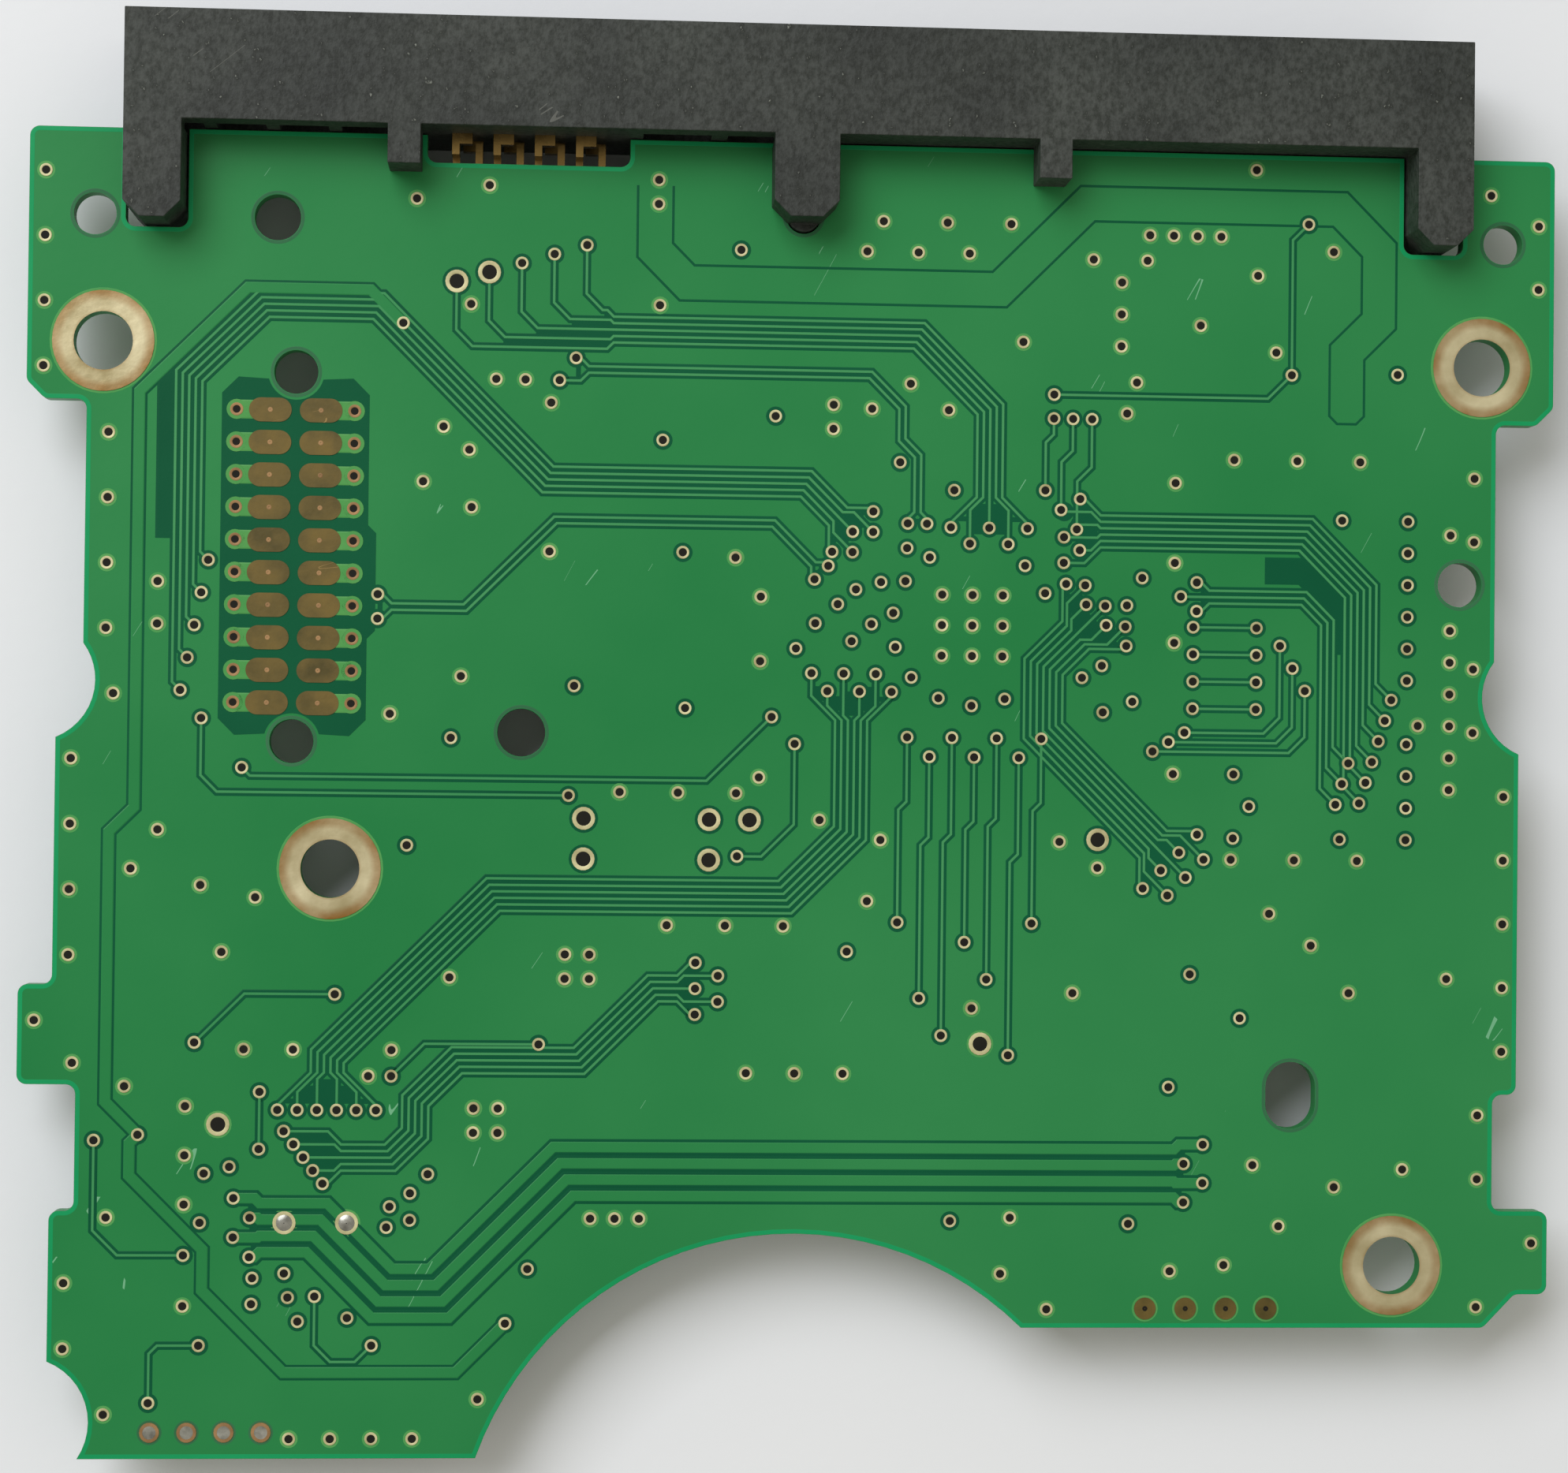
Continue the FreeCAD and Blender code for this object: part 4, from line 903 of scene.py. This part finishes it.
# %% Along the edges, and over the bare areas
board_low, board_high = box_in_mm("board_laminate")
EDGE_STEP = 4.0
EDGE_TRIES = 14
for level in range(int((board_high.y - board_low.y) / EDGE_STEP)):
    for side, inward in ((board_low.x, 1), (board_high.x, -1)):
        y = board_low.y + 2 + EDGE_STEP * level + 0.7 * inward
        for step in range(EDGE_TRIES):
            if stitch(side + inward * 0.5 * step, y):
                break
chance = random.Random(23)
SCATTER = 46
MOST_TRIES = 20000
placed = 0
for tried in range(MOST_TRIES):
    if placed == SCATTER:
        break
    x = chance.uniform(board_low.x, board_high.x)
    y = chance.uniform(board_low.y, board_high.y)
    placed += stitch(x, y, chance.choice((plane_via, plane_via, signal_via)), apart=3.2)
print("scattered", placed, "small holes", len(small_vias), "large holes", len(large_vias))

# %% [markdown]
# ## The plating of each hole
# A plated hole shows a narrow ring of metal and a dark bore, drawn as a dish of painted shade. A
# ring could be a torus, but real plating is flat on top and rolls over into the bore, so its section is
# drawn and turned on a lathe.

# %% Turn a ring and its bore
SIDES = 18
DARK_TOP = 0.034
SMALL_BORE, LARGE_BORE = 0.26, 0.46
BORE_SHARE = 0.6


def circle(bm, centre, radius, z):
    """A ring of corners round a place on the board, z metres up."""
    x, y = on_board(*centre)
    turns = [2 * math.pi * side / SIDES for side in range(SIDES)]
    return [bm.verts.new((x + radius * MM * math.cos(t), y + radius * MM * math.sin(t), z))
            for t in turns]


def join_circles(bm, lower, upper):
    for side in range(SIDES):
        after = (side + 1) % SIDES
        bm.faces.new((lower[side], lower[after], upper[after], upper[side]))


def lathe(bm, centre, profile, base=FACE, way=1):
    """Turns a list of (radius, height) in millimetres round the hole's axis, as a closed solid."""
    rings = [circle(bm, centre, radius, base + way * height * MM) for radius, height in profile]
    for index, ring in enumerate(rings):
        join_circles(bm, ring, rings[(index + 1) % len(rings)])


def plug(bm, centre, radius, base=FACE, way=1):
    """The painted shade that fills a bore: a dark shallow dish, so that it takes no highlight of its own.
    """
    rim = circle(bm, centre, radius, base + way * DARK_TOP * MM)
    foot = circle(bm, centre, radius, base)
    bottom = bm.verts.new((*on_board(*centre), base + way * 0.95 * DARK_TOP * MM))
    bm.faces.new(foot[::-1])
    join_circles(bm, rim, foot)
    for side in range(SIDES):
        bm.faces.new((bottom, rim[side], rim[(side + 1) % SIDES]))


def ring_profile(outer, lip, bore):
    """The section of a plated ring: up its side, over its flat top and down into the bore."""
    return [(outer, 0.0), (outer - 0.02, 0.044), (lip, 0.048), (bore, 0.036), (bore, 0.0)]


def plate(name, bores_name, places, outer, bore):
    rings, bores = bmesh.new(), bmesh.new()
    unique = []
    for place in sorted(places):
        taken = large_vias if outer < LARGE_VIA_RADIUS else []
        if all(math.dist(place, other) > outer for other in unique + taken):
            unique.append(place)
    for place in unique:
        lathe(rings, place, ring_profile(outer, bore + 0.03, bore))
        plug(bores, place, bore)
    finish_piece(name, rings, VIA_GOLD, smooth=40)
    finish_piece(bores_name, bores, BORE_DARK)


plate("small_via_rings", "small_via_bores", small_vias, VIA_RADIUS - 0.02, SMALL_BORE)
plate("large_via_rings", "large_via_bores", large_vias, LARGE_VIA_RADIUS, LARGE_BORE)

# %% The same holes come out on the other side, where no part covers them
under_rings, under_bores = bmesh.new(), bmesh.new()
open_below = 0
for centre in sorted(set(small_vias + large_vias)):
    radius = VIA_RADIUS if centre in small_vias else LARGE_VIA_RADIUS
    reach = 1.4 * radius
    around_it = [(centre[0] + reach * math.cos(k), centre[1] + reach * math.sin(k)) for k in range(6)]
    if all(first_met(x, y, BELOW_BOARD, 1)[0] == "board_laminate" for x, y in around_it):
        open_below += 1
        bore = BORE_SHARE * radius
        lathe(under_rings, centre, ring_profile(radius, 1.05 * bore, bore), UNDERSIDE, -1)
        plug(under_bores, centre, bore, UNDERSIDE, -1)
finish_piece("underside_via_rings", under_rings, VIA_GOLD, smooth=40)
finish_piece("underside_via_bores", under_bores, BORE_DARK)
print("holes open below:", open_below, "of", len(small_vias) + len(large_vias))

# %% [markdown]
# ## The head contact field
# Under the row of spring contacts the lacquer is left off the copper and the laminate between the
# pads is bare of copper. Each pad has a tab to a plated hole at its outer end, and a small dimple
# where a hole was filled. The rows are counted from the pads' own box.

# %% Bare laminate, tabs and holes of the head contacts
PAD_PITCH = 2.0
PAD_HALF_WIDTH = 0.74
FIELD_WIDE, FIELD_TALL, FIELD_CORNER, FIELD_STEP = 4.5, 11, 1, 0.5
FIELD_OUTLINE = [(-FIELD_WIDE, FIELD_TALL - FIELD_CORNER), (FIELD_CORNER - FIELD_WIDE, FIELD_TALL),
                 (FIELD_WIDE - FIELD_CORNER, FIELD_TALL), (FIELD_WIDE, FIELD_TALL - FIELD_CORNER),
                 (FIELD_WIDE, 2), (FIELD_WIDE + FIELD_STEP, 1.5), (FIELD_WIDE + FIELD_STEP, -4.5),
                 (FIELD_WIDE, -5), (FIELD_WIDE, FIELD_CORNER - FIELD_TALL),
                 (FIELD_WIDE - FIELD_CORNER, -FIELD_TALL), (FIELD_CORNER - FIELD_WIDE, -FIELD_TALL),
                 (-FIELD_WIDE, FIELD_CORNER - FIELD_TALL)]
ARC_RADIUS = 1.72
UPPER_HOLE = Vector((0.0, 11.35))
LOWER_HOLE = Vector((0.0, -11.35))


def arc(centre, start, end, steps=16):
    turns = [math.radians(start + (end - start) * k / steps) for k in range(steps + 1)]
    return [(centre.x + ARC_RADIUS * math.cos(t), centre.y + ARC_RADIUS * math.sin(t)) for t in turns]


upper_arc = arc(UPPER_HOLE, 195, 345)
lower_arc = arc(LOWER_HOLE, 15, 165)
field = FIELD_OUTLINE[:2] + upper_arc + FIELD_OUTLINE[2:10] + lower_arc + FIELD_OUTLINE[10:]
gaps.patch([(HEADS.x + x, HEADS.y + y) for x, y in field])
tabs = Layer("head_contact_tabs", 0.03, LACQUER_TAB, "mask_green")
head_holes = []
dimples = []
for number in range(10):
    y = pads_high.y - PAD_HALF_WIDTH - number * PAD_PITCH
    for pad_end, outward in ((pads_low.x, -1), (pads_high.x, 1)):
        hole = (pad_end + outward * 0.75, y)
        tabs.strip([(pad_end - outward * 0.3, y), hole], 1.25)
        tabs.disc(hole, 0.62)
        head_holes.append(hole)
        dimples.append((pad_end - outward * 1.3, y))
tabs.finish()
plate("head_via_rings", "head_via_bores", head_holes, 0.42, 0.24)
BARE_COPPER = make_finish(
    "bare_copper_ring", (122, 90, 54), (170, 132, 88), drift=700.0, contrast=2.0,
    rough=(0.4, 0.6), metal=0.3, bump=(5000.0, 0.00001))
bpy.data.objects["head_via_rings"].data.materials[0] = BARE_COPPER

# %% Two large holes filled with solder, and copper rings round the filled test holes
for side, place in zip(("left", "right"), driver_holes):
    dome = bmesh.new()
    lathe(dome, place, [(0.5, 0.03), (0.5, 0.05), (0.36, 0.11), (0.18, 0.14), (0.03, 0.15), (0.03, 0.03)])
    finish_piece("filled_hole_" + side, dome, SOLDER, smooth=60)


def row_of_four(node):
    """The radius and the places of four equal round pieces in a row, from their common box."""
    low, high = box_in_mm(node)
    radius = (high.y - low.y) / 2
    step = (high.x - low.x - 2 * radius) / 3
    return radius, [(low.x + radius + k * step, (low.y + high.y) / 2) for k in range(4)]


test_radius, test_places = row_of_four("filled_test_holes")
test_rings = bmesh.new()
inside = test_radius - 0.12
for place in test_places:
    lathe(test_rings, place, [(0.62, 0.0), (0.6, 0.05), (inside, 0.066), (inside, 0.0)])
finish_piece("test_hole_rings", test_rings, BARE_COPPER, smooth=50)

# %% Dimples in the pads, and the small holes in the motor contacts
motor_pad_radius, motor_places = row_of_four("motor_contact_pads")


def make_dimples(name, places, radius, material):
    bm = bmesh.new()
    for place in places:
        lathe(bm, place, [(radius, 0.0), (radius, 0.056), (radius * 0.55, 0.062), (0.02, 0.052),
                          (0.02, 0.0)])
    finish_piece(name, bm, material, smooth=50)


make_dimples("head_pad_dimples", dimples, 0.15, BARE_COPPER)
# The small holes in the motor contacts are dark dishes of painted shade.
make_dimples("motor_pad_dimples", motor_places, 0.16, BORE_DARK)
for place in motor_places:
    halos.disc(place, motor_pad_radius + 0.14)

# %% [markdown]
# ## The rim of the board
# Copper stops a little short of every cut edge. Round the outline the green is painted brighter,
# for the light that comes in through the cut edge, and a duller line runs round each drilled hole.
# They follow the laminate's own edge: the edges of its top face are read from the CAD mesh,
# chained into loops and moved inwards.

# %% Find the top edges of the laminate
RIM_WIDTH = 0.26
FACING_UP = 0.9


def top_loops(node):
    """The closed loops of points round a node's flat top, with its material on their left."""
    bm = welded(node)
    bm.normal_update()
    following = {}
    for face in bm.faces:
        if face.normal.z < FACING_UP:
            continue
        for loop in face.loops:
            others = [other for other in loop.edge.link_faces if other is not face]
            if all(other.normal.z < FACING_UP for other in others):
                following[loop.vert.index] = loop.link_loop_next.vert.index
    points = {vert.index: vert.co.copy() for vert in bm.verts}
    bm.free()
    loops = []
    while following:
        start = next(iter(following))
        chain, here = [], start
        while here in following:
            chain.append(points[here])
            here = following.pop(here)
        loops.append([Vector(((p.x - BOARD_MIDDLE.x) / MM, (p.y - BOARD_MIDDLE.y) / MM)) for p in chain])
    return loops


def width_of(outline):
    return max(point.x for point in outline) - min(point.x for point in outline)


HOLE_RIM_WIDTH = 0.2
WIDEST_HOLE = 20
# The outer rim carries painted light, a brighter green for light coming in through the cut edge.
rim = Layer("bare_rim_painted_glow", 0.003, LACQUER_RIM_PAINTED_GLOW, "mask_green")
hole_rims = Layer("bare_hole_rims", 0.003, LACQUER_HOLE, "mask_green")
for outline in top_loops("board_laminate"):
    layer, width = (rim, RIM_WIDTH) if width_of(outline) > WIDEST_HOLE else (hole_rims, HOLE_RIM_WIDTH)
    inner = offset_line([outline[-1]] + outline + [outline[0]], width / 2 + 0.02)[1:-1]
    layer.strip(inner, width, closed=True)
    print("rim loop of", len(outline), "points,", round(width_of(outline), 1), "mm across")

# %% The lacquer stops short of each screw land
LAND_RADIUS = 3.1
land_centres = []
for outline in top_loops("screw_hole_lands"):
    if width_of(outline) > 2 * LAND_RADIUS - 0.2:
        centre = sum(outline, Vector((0.0, 0.0))) / len(outline)
        land_centres.append(centre)
        edge = [centre + (point - centre) * ((LAND_RADIUS + 0.06) / LAND_RADIUS) for point in outline]
        halos.strip(edge, 0.18, closed=True)
print("screw lands at", [tuple(round(v, 1) for v in centre) for centre in land_centres])
for layer in (halos, rim, hole_rims, gaps, tracks, wide_tracks):
    layer.finish()

# %% [markdown]
# ## Finishes of the CAD nodes
# The CAD pieces keep their shape. Each gets the finish that its material slot names. Sharp CAD
# edges never catch the light as moulded ones do, so the moulded and pressed pieces also get a
# small bevel, on a mesh whose flat faces are first joined up again.

# %% Stain the outer edge of each screw land
# Heat and flux leave a brown bloom at the rim of a tinned land. The distance from the nearest
# land's centre gives a ring, and slow drift breaks the ring into a crescent.


def stain_lands(material):
    tree = material.node_tree
    base = tree.nodes["Principled BSDF"].inputs["Base Color"]
    place = own_place(tree)
    nearest = 1.0
    for centre in land_centres:
        reach = add(tree, "ShaderNodeVectorMath", operation="DISTANCE")
        feed(tree, place, reach.inputs[0])
        reach.inputs[1].default_value = (*on_board(centre.x, centre.y), FACE)
        nearest = compute(tree, "MINIMUM", nearest, reach.outputs["Value"])
    share = compute(tree, "DIVIDE", nearest, LAND_RADIUS * MM)
    ring = ramp(tree, share, (0.58, 0.4), (0.63, 0.0), (0.78, 0.0), (0.9, 0.75), (1.0, 1.0))
    patches = ramp(tree, place_group(tree, DRIFT, Size=330.0, Contrast=3.0), (0.0, 0.4), (1.0, 1.0))
    amount = compute(tree, "MULTIPLY", ring, patches)
    feed(tree, mix_colour(tree, amount, base.links[0].from_socket, (136, 92, 26)), base)


stain_lands(TIN_LAND)

# %% Give every node its finish
FINISHES = {
    "mask_green": LACQUER_POUR, "tinned_land": TIN_LAND, "gold_land": GOLD_PAD, "solder": SOLDER,
    "contact_gold": SHADED_CONTACT_GOLD, "black_polymer": HOUSING_BLACK, "chip_moulding": CHIP_BLACK,
    "tin_lead": TIN_LEAD, "dark_ceramic": DARK_CERAMIC, "nickel_can": NICKEL_CAN,
    "tan_ceramic": TAN_CERAMIC, "ferrite": FERRITE, "amber_moulding": AMBER_MOULDING,
    "copper_wire": COPPER_WIRE,
}
slot_of = {entry["node"]: entry["material_slot"] for entry in frame["record"]["subparts"]}
BEVELS = {"black_polymer": 0.12, "chip_moulding": 0.08, "nickel_can": 0.06, "ferrite": 0.12,
          "amber_moulding": 0.06, "dark_ceramic": 0.03, "tan_ceramic": 0.03}


def soften(piece, width):
    weld = piece.modifiers.new("Join split corners", "WELD")
    weld.merge_threshold = WELD
    flat = piece.modifiers.new("Join flat faces", "DECIMATE")
    flat.decimate_type = "DISSOLVE"
    flat.angle_limit = math.radians(1)
    bevel = piece.modifiers.new("Soft edges", "BEVEL")
    bevel.width = width * MM
    bevel.segments = 2
    bevel.limit_method = "ANGLE"
    bevel.angle_limit = math.radians(35)
    bevel.use_clamp_overlap = True


for name, piece in frame["nodes"].items():
    slot = slot_of[name]
    piece.data.materials.clear()
    piece.data.materials.append(FINISHES[slot])
    if slot in BEVELS:
        soften(piece, BEVELS[slot])
print("finished", len(frame["nodes"]), "nodes")

# %% [markdown]
# ## Floor, light and camera
# The board lies on white paper near a window. One wide soft lamp stands for the window, up and to
# the left, and a pale sky fills the shadows.

# %% A sheet of white paper
paper = make_finish("white_paper", (222, 226, 234), (232, 234, 238), drift=9.0,
                    rough=(0.85, 0.95), bump=(900.0, 0.00002), specular=0.1)
floor_mesh = bmesh.new()
bmesh.ops.create_grid(floor_mesh, x_segments=4, y_segments=4, size=1.2)
mesh = bpy.data.meshes.new("paper_floor")
floor_mesh.to_mesh(mesh)
floor_mesh.free()
floor = bpy.data.objects.new("paper_floor", mesh)
floor.data.materials.append(paper)
floor.location.z = cad_box[0][2]
bpy.context.scene.collection.objects.link(floor)

# %% The window and the sky
WINDOW = Vector((-0.34, 0.42, 0.62))
lamp = bpy.data.lights.new("window", "AREA")
lamp.shape = "RECTANGLE"
lamp.size, lamp.size_y = 0.6, 0.5
lamp.energy = 5.4
lamp.color = (0.97, 0.98, 1.0)
window = bpy.data.objects.new("window", lamp)
window.location = WINDOW
window.rotation_euler = (-WINDOW).to_track_quat("-Z", "Y").to_euler()
bpy.context.scene.collection.objects.link(window)
world = bpy.data.worlds.new("sky")
world.use_nodes = True
sky = world.node_tree.nodes["Background"]
sky.inputs["Color"].default_value = (1.0, 0.95, 0.82, 1.0)
sky.inputs["Strength"].default_value = 0.5
bpy.context.scene.world = world
bpy.context.scene.view_settings.view_transform = "Standard"

# %% The camera looks almost straight down, from a little left of the middle
camera_data = bpy.data.cameras.new("camera")
camera_data.sensor_width = 36.0
camera_data.lens = 76.06
camera_data.clip_start = 0.01
camera = bpy.data.objects.new("camera", camera_data)
camera.location = (-0.01475, -0.0026, 0.2104)
camera.rotation_euler = tuple(math.radians(turn) for turn in (0.8087, -3.888, 0.6467))
bpy.context.scene.collection.objects.link(camera)
bpy.context.scene.camera = camera
